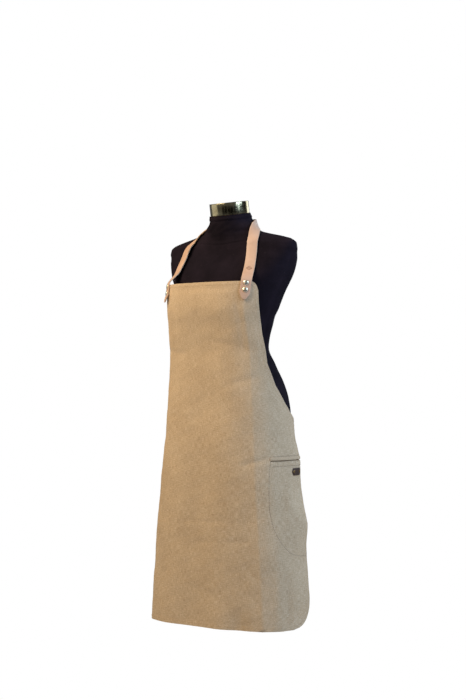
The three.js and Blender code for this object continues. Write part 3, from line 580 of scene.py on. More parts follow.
# ------------------------------------------------------------------ the worn cloth
@dataclass
class WornCloth:
    """The surface that the apron's cloth follows, with its folds and hem relief, in millimetres.

    A place on it is a distance s along the cloth from the centre front and a height z.
    """

    hem: float = -406.0
    top: float = 470.0
    corner_radius: float = 80.0
    front_round: float = 3.0
    back_round: float = 2.4
    step: float = 2.5
    stations: tuple = (
        (-410, 221, 133, 150), (-300, 214, 131.5, 146), (-200, 206, 130, 140), (-110, 199, 129, 132),
        (0, 185, 128, 120), (94, 175, 125, 113), (200, 168, 120, 112), (285, 163, 119, 110),
        (350, 163, 126, 110), (412, 165, 135, 110), (445, 164, 134, 110), (475, 161, 129, 110),
    )
    armhole: tuple = (
        (111, 345), (119, 310), (128, 291), (138.5, 274), (165, 246), (205, 211.4), (261, 182.5),
        (334, 171), (385, 169.7), (446, 165.8), (458, 160.6), (465, 155), (470, 146),
    )

    def __post_init__(self) -> None:
        """Builds the lattice of surface points and normals."""
        table = np.array(self.stations, float)
        self._section = pchip(table[:, 0], table[:, 1:])
        corner = [(self.hem + self.corner_radius * (1 - math.cos(a)), 270 + self.corner_radius * math.sin(a))
                  for a in np.linspace(0, math.pi / 2, 9)]
        self._outline = np.array([*corner, *self.armhole], float)
        self.s = np.arange(-362, 362 + self.step, self.step)
        self.z = np.arange(self.hem - 10, self.top + 10, self.step)
        rows = [self._row(z) for z in self.z]
        self.points = np.array(rows)
        self.normals = self._normals(self.points)
        s, z = np.meshgrid(self.s, self.z)
        self.points = self.points + self.normals * self.folds(s, z)[..., None]
        self.normals = self._normals(self.points)

    def _row(self, z: float) -> Array:
        """One row of lattice points at a height."""
        a, front, back = self._section(z)[0]
        angle = np.linspace(0, math.pi, 721)
        cx, cy = np.sin(angle), -np.cos(angle)
        depth = np.where(cy < 0, front, back)
        power = np.where(cy < 0, self.front_round, self.back_round)
        r = oval_radius(cx, cy, a, depth, power)
        x, y = r * cx, r * cy
        length = arc_length(np.stack([x, y], -1))
        side = np.abs(self.s)
        return np.stack([np.sign(self.s) * np.interp(side, length, x), np.interp(side, length, y),
                         np.full_like(side, z)], axis=-1)

    def _normals(self, points: Array) -> Array:
        """Outward normals of the lattice."""
        return unit(np.cross(np.gradient(points, axis=1), np.gradient(points, axis=0)))

    def edge(self, z: Array) -> Array:
        """Distance from the centre front to the side edge at each height."""
        return np.interp(z, self._outline[:, 0], self._outline[:, 1])

    def border(self, inset: float, low: float = -500.0, high: float = 500.0) -> Array:
        """Places a given distance in from the cut edge, from the hem's middle up to the bib.

        Args:
            inset: distance in from the edge.
            low: lowest height that is kept.
            high: greatest height that is kept.

        Returns:
            Rows of distance along the cloth and height.
        """
        z = np.concatenate([np.full(60, self.hem), np.linspace(self.hem, self.top, 900)])
        s = np.concatenate([np.linspace(0, 266, 60), self.edge(z[60:])])
        length = arc_length(np.stack([s, z], -1))
        t = np.arange(0, length[-1], 2.0)
        line = np.stack([np.interp(t, length, s), np.interp(t, length, z)], -1)
        kernel = np.ones(5) / 5
        for k in (0, 1):
            line[2:-2, k] = np.convolve(line[:, k], kernel, "valid")
        forward = unit(np.gradient(line, axis=0))
        line = line + inset * np.stack([-forward[:, 1], forward[:, 0]], -1)
        return line[(line[:, 1] >= low) & (line[:, 1] <= high) & (line[:, 1] <= self.top - inset)]

    def folds(self, s: Array, z: Array) -> Array:
        """Height of the folds, creases and flutes above the smooth surface."""
        def mound(u: Array, width: float) -> Array:
            return np.exp(-((u / width) ** 2))

        fall = smoothstep(330, -400, z)
        h = np.zeros_like(s)
        for side, strength in ((1, 1.0), (-1, 0.7)):
            crease = side * np.interp(z, (-400, -115, 200, 440), (184, 164, 140, 127))
            fade = smoothstep(455, 400, z) * (0.55 + 0.45 * fall)
            h += strength * fade * (3.2 * np.exp(-np.abs(s - crease) / 13) - 1.3 * mound(s - crease, 45))
        h -= 1.3 * mound(z - 452, 7) * smoothstep(150, 110, np.abs(s))
        h -= 1.0 * mound(s - 112 - (425 - z) * 0.06, 9) * smoothstep(440, 410, z) * smoothstep(230, 330, z)
        h += fall * (1.6 * np.sin(s / 38.0 + 0.9 + z / 900) + 1.0 * np.sin(s / 21.0 - 1.1 - z / 600))
        h -= 5.0 * mound(s - 118 - (z + 390) * 0.08, 22) * smoothstep(-330, -406, z)
        h += 2.5 * mound(s - 60, 26) * smoothstep(-320, -406, z)
        h += 3.0 * mound(s + 130, 50) * smoothstep(-250, -406, z)
        for s0, z0, s1, z1, depth, width in (
            (120, 6, 190, 24, -1.6, 6), (256, -108, 302, -168, -2.2, 9), (222, -60, 250, -112, -1.0, 8),
            (-60, -141, 120, -136, -0.7, 6), (-20, -192, 150, -186, -0.7, 7), (-150, 300, -60, 286, -1.0, 8),
            (20, 322, 130, 300, -0.9, 9), (-120, 130, 10, 118, -0.7, 10), (60, 205, 165, 228, -0.9, 9),
            (-140, 415, -30, 395, -0.7, 11), (140, -250, 190, -300, -1.2, 9), (-40, -300, 60, -330, -0.9, 10),
        ):
            run = np.array([s1 - s0, z1 - z0], float)
            length = np.hypot(*run)
            along = ((s - s0) * run[0] + (z - z0) * run[1]) / length
            across = ((z - z0) * run[0] - (s - s0) * run[1]) / length
            span = smoothstep(-12, 18, along) * smoothstep(length + 12, length - 18, along)
            h += depth * mound(across, width) * span
        rng = np.random.default_rng(7)
        for wave, size in ((150, 0.7), (70, 0.35), (34, 0.16), (19, 0.08)):
            for _ in range(4):
                turn, phase = rng.uniform(0, math.pi), rng.uniform(0, 2 * math.pi)
                travel = s * math.cos(turn) + z * math.sin(turn)
                h += size * 0.5 * np.sin(2 * math.pi * travel / wave + phase)
        calm = np.ones_like(h)
        for s0, z0, reach in ((132.4, 450, 34), (333, 97, 30), (290.8, -13.3, 30)):
            calm *= smoothstep(0.55, 1.5, np.hypot(np.abs(s) - s0, z - z0) / reach)
        h = h * calm
        for s0, z0, width, height, rise in (
            (306, 8, 44, 44, 7.5), (314, -150, 44, 46, 10.0), (302, -335, 45, 34, 6.0),
            (314, -243, 40, 24, -1.5), (252, -340, 13, 80, -4.5), (222, -330, 13, 90, 2.0),
            (262, -70, 14, 60, 3.5), (228, -90, 16, 60, -3.0), (300, -70, 12, 50, -2.5),
            (284, -190, 16, 30, 2.5),
        ):
            h += rise * mound(s - s0, width) * mound(z - z0, height)
        return h

    def _hem_relief(self, s: Array, z: Array) -> Array:
        """Doubled cloth along the edges, drawn in at its stitching, with small puckers."""
        slope = np.gradient(self.edge(self.z), self.z)
        side = (self.edge(z) - np.abs(s)) / np.sqrt(1 + np.interp(z, self.z, slope) ** 2)
        upper, lower = self.top - z, z - self.hem
        near = np.minimum(np.minimum(side, upper), lower)
        relief = 0.75 * smoothstep(10.5, 9.0, near)
        seam = np.where(side < np.minimum(upper, lower), side, np.where(upper < lower, upper, lower))
        pucker = np.sin((s + z) / 1.9) * 0.16 + np.sin((s - z) / 3.7 + 1) * 0.16
        relief += (pucker - 0.35) * np.exp(-(((seam - 7.5) / 2.2) ** 2))
        mouth = smoothstep(185, 200, s) * smoothstep(345, 330, s)
        relief += mouth * (0.9 * smoothstep(1.0, 4.0, z) * smoothstep(16.0, 12.0, z))
        relief -= mouth * (0.5 + pucker) * np.exp(-(((z - 2.4) / 1.8) ** 2))
        return relief

    def at(self, s: Array, z: Array, lift: Array | float = 0.0, hemmed: bool = True) -> tuple[Array, Array]:
        """Points and normals of the cloth at places on it.

        Args:
            s: distance along the cloth from the centre front.
            z: height.
            lift: distance outwards from the surface.
            hemmed: whether the doubled hems stand proud of it.

        Returns:
            Points and outward normals.
        """
        s, z = np.broadcast_arrays(np.asarray(s, float), np.asarray(z, float))
        u = np.clip((s - self.s[0]) / self.step, 0, len(self.s) - 1.001)
        v = np.clip((z - self.z[0]) / self.step, 0, len(self.z) - 1.001)
        i, j = v.astype(int), u.astype(int)
        fu, fv = (u - j)[..., None], (v - i)[..., None]

        def sample(grid: Array) -> Array:
            low = grid[i, j] * (1 - fu) + grid[i, j + 1] * fu
            high = grid[i + 1, j] * (1 - fu) + grid[i + 1, j + 1] * fu
            return low * (1 - fv) + high * fv

        normal = unit(sample(self.normals))
        if hemmed:
            lift = lift + self._hem_relief(s, z)
        return sample(self.points) + normal * np.asarray(lift, float)[..., None], normal


@dataclass
class ClothPiece:
    """A cut piece of canvas that lies on or behind the worn cloth."""

    name: str
    cloth: WornCloth
    low: float
    high: float
    left: Callable[[Array], Array]
    right: Callable[[Array], Array]
    lift: float = 0.0
    thickness: float = 1.6
    cell: float = 4.0
    gap: tuple[float, float, float, float] | None = None
    belly: Callable[[Array, Array], Array] | None = None
    hemmed: bool = True

    def build(self) -> bpy.types.Object:
        """Cuts, lays and thickens the piece.

        Returns:
            The finished object, with its threads' directions in its UV map.
        """
        heights = self._heights()
        width = float(np.max(self.right(heights) - self.left(heights)))
        columns = max(2, int(round(width / self.cell)))
        obj, across, up = grid_sheet(self.name, columns, len(heights) - 1)
        z = heights[up]
        share = across / columns
        s = self.left(z) * (1 - share) + self.right(z) * share
        if self.gap:
            s = self._snap(s, z, share)
        lift = np.full_like(s, self.lift)
        if self.belly is not None:
            lift = lift + self.belly(s, z)
        points, _ = self.cloth.at(s, z, lift, self.hemmed)
        place_vertices(obj, points)
        write_uv(obj, np.stack([s, z], axis=-1) * MM)
        if self.gap:
            self._open_gap(obj, s, z)
        shell = obj.modifiers.new("thickness", "SOLIDIFY")
        shell.thickness = self.thickness * MM
        shell.offset = -1.0
        shell.use_even_offset = False
        finish_modifiers(obj)
        smooth_shade(obj, 50)
        return obj

    def _heights(self) -> Array:
        """Row heights, with rows on both lips of the gap."""
        stops = [self.low, self.high]
        if self.gap:
            stops = [self.low, self.gap[2], self.gap[3], self.high]
        rows = [np.array([stops[0]])]
        for start, end in zip(stops, stops[1:]):
            count = max(1, int(round((end - start) / self.cell)))
            rows.append(np.linspace(start, end, count + 1)[1:])
        return np.concatenate(rows)

    def _snap(self, s: Array, z: Array, share: Array) -> Array:
        """Moves the columns nearest to the gap's ends onto them, near the gap only."""
        columns = int(round(1 / np.min(share[share > 0])))
        for end in self.gap[:2]:
            target = (end - self.left(np.array([self.gap[2]]))[0]) / (
                self.right(np.array([self.gap[2]])) - self.left(np.array([self.gap[2]])))[0]
            chosen = np.abs(share - round(target * columns) / columns) < 1e-6
            near = np.exp(-(((z - (self.gap[2] + self.gap[3]) / 2) / 30) ** 2))
            s = np.where(chosen, s + (end - s) * near, s)
        return s

    def _open_gap(self, obj: bpy.types.Object, s: Array, z: Array) -> None:
        """Deletes the faces between the gap's lips."""
        s0, s1, z0, z1 = self.gap
        activate(obj)
        bpy.ops.object.mode_set(mode="EDIT")
        bpy.ops.mesh.select_all(action="DESELECT")
        bpy.ops.mesh.select_mode(type="FACE")
        bpy.ops.object.mode_set(mode="OBJECT")
        for polygon in obj.data.polygons:
            index = list(polygon.vertices)
            inside = z0 < np.mean(z[index]) < z1 and s0 < np.mean(s[index]) < s1
            polygon.select = bool(inside)
        bpy.ops.object.mode_set(mode="EDIT")
        bpy.ops.mesh.delete(type="FACE")
        bpy.ops.object.mode_set(mode="OBJECT")


@dataclass
class Topstitching:
    """Rows of sewing stitches laid on the worn cloth, all from one modelled stitch."""

    name: str
    cloth: WornCloth
    stitch: float = 3.0
    pitch: float = 4.0
    radius: float = 0.4
    probe: float = 0.8
    places: list[tuple[Array, Array, Array]] = field(default_factory=list)

    def along(self, s: Array, z: Array, lift: float = 0.05) -> None:
        """Adds stitches along a line of places on the cloth.

        Args:
            s: distances along the cloth.
            z: heights.
            lift: height of the thread over the cloth.
        """
        points, normals = self.cloth.at(np.asarray(s, float), np.asarray(z, float), lift)
        length = arc_length(points)
        middles = np.arange(self.pitch / 2, length[-1], self.pitch)

        def sample(rows: Array, offset: float = 0.0) -> Array:
            return np.stack([np.interp(middles + offset, length, rows[:, k]) for k in range(3)], -1)

        forward = unit(sample(points, self.probe) - sample(points, -self.probe))
        self.places.append((sample(points), forward, unit(sample(normals))))

    def build(self) -> bpy.types.Object:
        """Models one stitch and copies it to every place, in one mesh."""
        deselect()
        bpy.ops.mesh.primitive_cylinder_add(vertices=6, radius=1, depth=2, rotation=(0, math.pi / 2, 0))
        obj = bpy.context.object
        obj.name = obj.data.name = self.name
        settle(obj)
        bpy.ops.object.mode_set(mode="EDIT")
        bpy.ops.mesh.select_all(action="SELECT")
        bpy.ops.mesh.bisect(plane_co=(0, 0, 0), plane_no=(1, 0, 0))
        bpy.ops.object.mode_set(mode="OBJECT")
        shape = read_vertices(obj) * MM
        ends = np.abs(shape[:, 0]) > 0.9
        shape[ends, 1:] *= 0.45
        shape[:, 2] -= np.where(ends, 0.9, 0)
        faces = [tuple(p.vertices) for p in obj.data.polygons]
        middle = np.concatenate([p[0] for p in self.places])
        forward = np.concatenate([p[1] for p in self.places])
        normal = np.concatenate([p[2] for p in self.places])
        side = unit(np.cross(normal, forward))
        corners = (middle[:, None] + shape[None, :, :1] * (self.stitch / 2) * forward[:, None]
                   + shape[None, :, 1:2] * self.radius * side[:, None]
                   + shape[None, :, 2:3] * self.radius * normal[:, None])
        count = len(shape)
        mesh = bpy.data.meshes.new(self.name)
        mesh.from_pydata([tuple(v) for v in (corners.reshape(-1, 3) * MM)], [],
                         [tuple(i + count * k for i in f) for k in range(len(middle)) for f in faces])
        old = obj.data
        obj.data = mesh
        bpy.data.meshes.remove(old)
        smooth_shade(obj)
        log.info("%s: %d stitches", self.name, len(middle))
        return obj


# ------------------------------------------------------------------ leather
@dataclass
class LeatherStrip:
    """A strip of leather with softened edges, along stations in millimetres.

    Each station is a point on the inner face, the direction across, and half the width.
    """

    name: str
    stations: Array
    thickness: float = 3.0
    spacing: float = 2.2
    soften: float = 0.7
    inner: float = 0.3
    closed: bool = False

    def build(self) -> bpy.types.Object:
        """Lofts the strip's section along the stations.

        Returns:
            The strip, with cut edges marked in its Edge attribute.
        """
        point, across, half = self._resampled()
        forward = unit(np.gradient(point, axis=0))
        if self.closed:
            forward = unit(np.roll(point, -1, axis=0) - np.roll(point, 1, axis=0))
        across = unit(across - forward * np.sum(across * forward, axis=1, keepdims=True))
        normal = np.cross(forward, across)
        section, edge = self._section()
        rows, columns = len(point), len(section)
        obj, around, up = grid_sheet(self.name, columns, rows if self.closed else rows - 1)
        ring, up = around % columns, up % rows
        w = half[up][:, None]
        sx, sz = section[ring, 0][:, None], section[ring, 1][:, None]
        inset = np.minimum(self.soften, w)
        x = np.sign(sx) * (w - inset * (1 - np.abs(sx)))
        vertices = point[up] + across[up] * x + normal[up] * (self.inner + sz * self.thickness)
        place_vertices(obj, vertices)
        attribute = obj.data.attributes.new("Edge", "FLOAT", "POINT")
        attribute.data.foreach_set("value", edge[ring].astype(np.float32))
        weld(obj, cap_ends=not self.closed)
        smooth_shade(obj, 40)
        return obj

    def face(self, height: float) -> tuple[Array, Array, Array]:
        """Middle of the outer face at a height of the first half, with the directions across and along."""
        point, across, _ = self._resampled()
        forward = unit(np.gradient(point, axis=0))
        row = int(np.argmin(np.abs(point[: len(point) // 2, 2] - height)))
        side = unit(across[row] - forward[row] * np.dot(across[row], forward[row]))
        out = np.cross(forward[row], side)
        return point[row] + out * (self.inner + self.thickness - 0.1), side, forward[row]

    def _section(self) -> tuple[Array, Array]:
        """Section outline, as signed edge share and height share, and how much of a cut edge it is."""
        turn = np.linspace(0, math.pi / 2, 4)
        r = self.soften / self.thickness
        top = [(max(math.sin(a), 1e-6), 1 - r + r * math.cos(a)) for a in turn]
        bottom = [(max(math.cos(a), 1e-6), r - r * math.sin(a)) for a in turn]
        side = top + bottom
        section = np.array(side + [(-x, z) for x, z in reversed(side)])
        return section, np.array([0.15, 0.6, 1, 1, 1, 1, 0.6, 0.15] * 2)

    def _resampled(self) -> tuple[Array, Array, Array]:
        """Stations at even spacing along a smooth path."""
        data = self.stations
        if self.closed:
            data = np.vstack([data, data[:1]])
        length = arc_length(data[:, :3])
        curve = pchip(length, data)
        count = max(3, int(round(length[-1] / self.spacing)))
        t = np.linspace(0, length[-1], count + 1)
        t = np.unique(np.round(np.concatenate([t, length]), 3)) if len(data) < 12 else t
        rows = curve(t)
        if self.closed:
            rows = rows[:-1]
        return rows[:, :3], rows[:, 3:6], rows[:, 6]


def mirrored(stations: Array) -> Array:
    """Stations on the wearer's other side, in the order that carries on from the middle."""
    other = stations[::-1].copy()
    other[:, 0] *= -1
    other[:, 3] *= -1
    return other


@dataclass
class Fastener:
    """A rivet head or closing cap: a turned, domed piece at a seat, in millimetres."""

    node: str
    seat: Sequence[float]
    normal: Sequence[float]
    radius: float
    low: float
    high: float
    post: float = 1.6
    foot: float = 0.0
    profile: tuple = ((0.05, 0.24), (0.09, 0.24), (0.20, 0.28), (0.30, 0.18), (0.22, 0.06))

    def build(self) -> bpy.types.Object:
        """Models the head from a cylinder, with a rim, a dome and its post."""
        rim = self.low + 0.4 * (self.high - self.low)
        deselect()
        bpy.ops.mesh.primitive_cylinder_add(vertices=36, radius=self.radius * MM, depth=(rim - self.low) * MM,
                                            location=(0, 0, (self.low + rim) / 2 * MM))
        obj = bpy.context.object
        obj.name = obj.data.name = f"{self.node}_face"
        settle(obj)
        select_faces(obj, lambda c, n: n.z > 0.9)
        for inset, rise in self.profile:
            bpy.ops.mesh.inset(thickness=self.radius * inset * MM)
            bpy.ops.transform.translate(value=(0, 0, (self.high - rim) * rise * MM))
        select_faces(obj, lambda c, n: n.z < -0.9)
        bpy.ops.mesh.inset(thickness=(self.radius - self.post) * MM)
        bpy.ops.mesh.extrude_region_move(
            TRANSFORM_OT_translate={"value": (0, 0, (self.foot - self.low) * MM)})
        bpy.ops.object.mode_set(mode="OBJECT")
        bevel = obj.modifiers.new("rim", "BEVEL")
        bevel.width = min(0.3, self.radius * 0.06) * MM
        bevel.segments = 2
        bevel.limit_method = "ANGLE"
        bevel.angle_limit = math.radians(60)
        finish_modifiers(obj)
        turn = Vector((0, 0, 1)).rotation_difference(Vector(self.normal)).to_matrix().to_4x4()
        obj.data.transform(Matrix.Translation(Vector(self.seat) * MM) @ turn)
        smooth_shade(obj, 40)
        return obj


def select_faces(obj: bpy.types.Object, wanted: Callable[[Vector, Vector], bool]) -> None:
    """Enters edit mode with just the wanted faces selected.

    Args:
        obj: mesh to edit.
        wanted: test of a face's middle and normal.
    """
    activate(obj)
    bpy.ops.object.mode_set(mode="EDIT")
    bpy.ops.mesh.select_mode(type="FACE")
    bpy.ops.mesh.select_all(action="DESELECT")
    bpy.ops.object.mode_set(mode="OBJECT")
    for polygon in obj.data.polygons:
        polygon.select = bool(wanted(polygon.center, polygon.normal))
    bpy.ops.object.mode_set(mode="EDIT")


def cut_box(obj: bpy.types.Object, low: Sequence[float], high: Sequence[float]) -> None:
    """Cuts a slot with softened corners through a piece.

    Args:
        obj: piece to cut.
        low: lowest corner of the slot, in millimetres.
        high: highest corner of the slot.
    """
    deselect()
    low, high = np.array(low, float) * MM, np.array(high, float) * MM
    bpy.ops.mesh.primitive_cube_add(size=1, location=tuple((low + high) / 2), scale=tuple(high - low))
    tool = bpy.context.object
    settle(tool)
    cutter = obj.modifiers.new("slot", "BOOLEAN")
    cutter.operation = "DIFFERENCE"
    cutter.solver = "EXACT"
    cutter.object = tool
    finish_modifiers(obj)
    bpy.data.objects.remove(tool)


@dataclass
class Rod:
    """Round wire swept along a path, in millimetres."""

    name: str
    path: Array
    radius: float | Sequence[float] = 1.8
    closed: bool = False
    segments: int = 14

    def build(self) -> bpy.types.Object:
        """Sweeps the wire and closes its ends."""
        path = np.asarray(self.path, float)
        rows = len(path)
        forward = unit(np.gradient(path, axis=0))
        if self.closed:
            forward = unit(np.roll(path, -1, 0) - np.roll(path, 1, 0))
        side = unit(np.cross(forward, np.array([0.0, 1.0, 0.0])))
        up_axis = np.cross(side, forward)
        radius = np.broadcast_to(np.asarray(self.radius, float), (rows,))
        obj, around, up = grid_sheet(self.name, self.segments, rows if self.closed else rows - 1)
        up = up % rows
        angle = 2 * math.pi * (around % self.segments) / self.segments
        points = (path[up] + side[up] * (radius[up] * np.cos(angle))[:, None]
                  + up_axis[up] * (radius[up] * np.sin(angle))[:, None])
        place_vertices(obj, points)
        weld(obj, cap_ends=not self.closed)
        smooth_shade(obj, 60)
        return obj


# ------------------------------------------------------------------ the apron
@dataclass
class ApronCloth:
    """The canvas of the apron: its panel, the slit pocket at the wearer's left and the sewing."""

    cloth: WornCloth
    mouth: tuple[float, float, float, float] = (197.0, 335.0, 13.5, 18.5)
    bag_span: tuple[float, float] = (-228.0, 24.6)
    facing_span: tuple[float, float] = (-0.5, 13.4)
    welt_span: tuple[float, float] = (17.2, 25.0)
    side_room: float = 9.0
    flat: tuple[float, float] = (0.70, 0.876)
    bag_edge: tuple = (
        (-228, 281), (-222, 262), (-215, 250), (-188, 224), (-156, 204), (-121, 193), (-76, 190), (25, 189),
    )

    def build(self) -> None:
        """Builds and dresses every piece of canvas."""
        cloth = self.cloth
        panel = ClothPiece("apron_cloth", cloth, cloth.hem, cloth.top, lambda z: -cloth.edge(z), cloth.edge,
                           gap=self.mouth).build()
        dress(panel, Finish.CANVAS, "apron", ["apron_panel"])
        edge = np.array(self.bag_edge, float)

        def near(z: Array) -> Array:
            return np.interp(z, edge[:, 0], edge[:, 1])

        def far(z: Array) -> Array:
            return cloth.edge(z) - self.side_room

        bag = ClothPiece("pocket_bag_cloth", cloth, *self.bag_span, near, far,
                         lift=-3.7, thickness=1.1, cell=5.0, hemmed=False).build()
        dress(bag, Finish.CANVAS, "apron", ["pocket_bag"])
        facing = ClothPiece("pocket_facing_cloth", cloth, *self.facing_span, lambda z: 0 * z + 196, far,
                            lift=-2.0, thickness=1.1, cell=3.5, hemmed=False).build()
        dress(facing, Finish.CANVAS, "apron", ["pocket_facing"])
        welt = ClothPiece("pocket_welt_cloth", cloth, *self.welt_span, lambda z: 0 * z + 195, far,
                          lift=1.5, thickness=1.2, cell=1.6, hemmed=False, belly=self._welt_roll).build()
        dress(welt, Finish.CANVAS, "apron", ["pocket_welt"])
        sewing = self._sewing()
        dress(sewing, Finish.THREAD, "apron")
        outline = self._pocket_sewing()
        dress(outline, Finish.DARK_THREAD_AND_SEAM_SHADE, "apron")
        low, high = self.bag_span
        rows = np.linspace(low, high, 400)
        area = float(np.mean(far(rows) - near(rows))) * (high - low) * MM * MM

    def _welt_roll(self, _s: Array, z: Array) -> Array:
        """Rounds the folded lip of the welt over the slit."""
        low, high = self.welt_span
        lip = smoothstep(low + 2.3, low, z)
        return 0.35 * np.sin(np.clip((z - low) / (high - low), 0, 1) * math.pi) - 0.5 * lip

    def _sewing(self) -> bpy.types.Object:
        """Sews the side and lower hems, a second row beside the armholes, and the top of the bib."""
        rows = Topstitching("topstitching", self.cloth)
        for side in (1, -1):
            hem = self.cloth.border(7.6)
            rows.along(side * hem[:, 0], hem[:, 1])
            close = self.cloth.border(3.2, 118)
            rows.along(side * close[:, 0], close[:, 1])
        top = np.linspace(-139, 139, 150)
        rows.along(top, np.full_like(top, self.cloth.top - 8.6))
        return rows.build()

    def _pocket_sewing(self) -> bpy.types.Object:
        """Sews the pocket mouth and the curved edge of the pocket bag, in a darker, thicker thread whose
        darkness and width also paint the shade of the puckered seam.
        """
        rows = Topstitching("pocket_topstitching", self.cloth, stitch=3.8, pitch=4.3, radius=0.62)
        mouth = np.linspace(203, 338, 90)
        rows.along(mouth, np.full_like(mouth, 27.6))
        rows.along(mouth, np.full_like(mouth, 2.4))
        rows.along(np.full(8, 196.2), np.linspace(3, 27, 8))
        curve = np.array([
            (195, 2), (193.3, -11), (193, -40), (194, -76), (195.6, -100), (198.7, -121), (203.3, -139),
            (209.4, -156), (218.6, -173), (230, -188), (244.6, -202.5), (262.7, -215), (281.8, -222),
            (305, -225.5), (342, -226.5),
        ])
        length = arc_length(curve)
        smooth = pchip(length, curve)(np.linspace(0, length[-1], 220))
        rows.along(smooth[:, 0], smooth[:, 1])
        return rows.build()


@dataclass
class Label:
    """Plain dark leather tag below the pocket mouth, held by two small rivets."""

    cloth: WornCloth
    s: float = 290.8
    z: float = -13.3
    length: float = 38.0
    width: float = 18.5
    thickness: float = 2.0
    spacing: float = 27.0

    def build(self) -> None:
        """Builds the tag and its rivets."""
        along = np.array([-1, -0.98, -0.74, -0.5, -0.25, 0, 0.25, 0.5, 0.74, 0.98, 1]) * self.length / 2
        half = np.array([0.27, 0.33, 0.97, 1, 1, 1, 1, 1, 0.97, 0.33, 0.27]) * self.width / 2
        points, _ = self.cloth.at(self.s + along, np.full_like(along, self.z), 0.0)
        above, _ = self.cloth.at(self.s + along, np.full_like(along, self.z + 5), 0.0)
        stations = np.hstack([points, unit(above - points), half[:, None]])
        tag = LeatherStrip("label_tag", stations, self.thickness, spacing=1.0, soften=0.4, inner=0.3).build()
        dress(tag, Finish.DARK_LEATHER, "apron", ["label"])
        for name, side in (("front", -1), ("back", 1)):
            place = self.s + side * self.spacing / 2
            seat, normal = self.cloth.at(np.array([place]), np.array([self.z]), 0.0)
            rivet = Fastener(f"label_rivet_{name}", seat[0], normal[0],
                             radius=3.1, low=2.35, high=3.9, post=1.1, foot=0.4).build()
            dress(rivet, Finish.ANTIQUE, "apron", [f"label_rivet_{name}"])


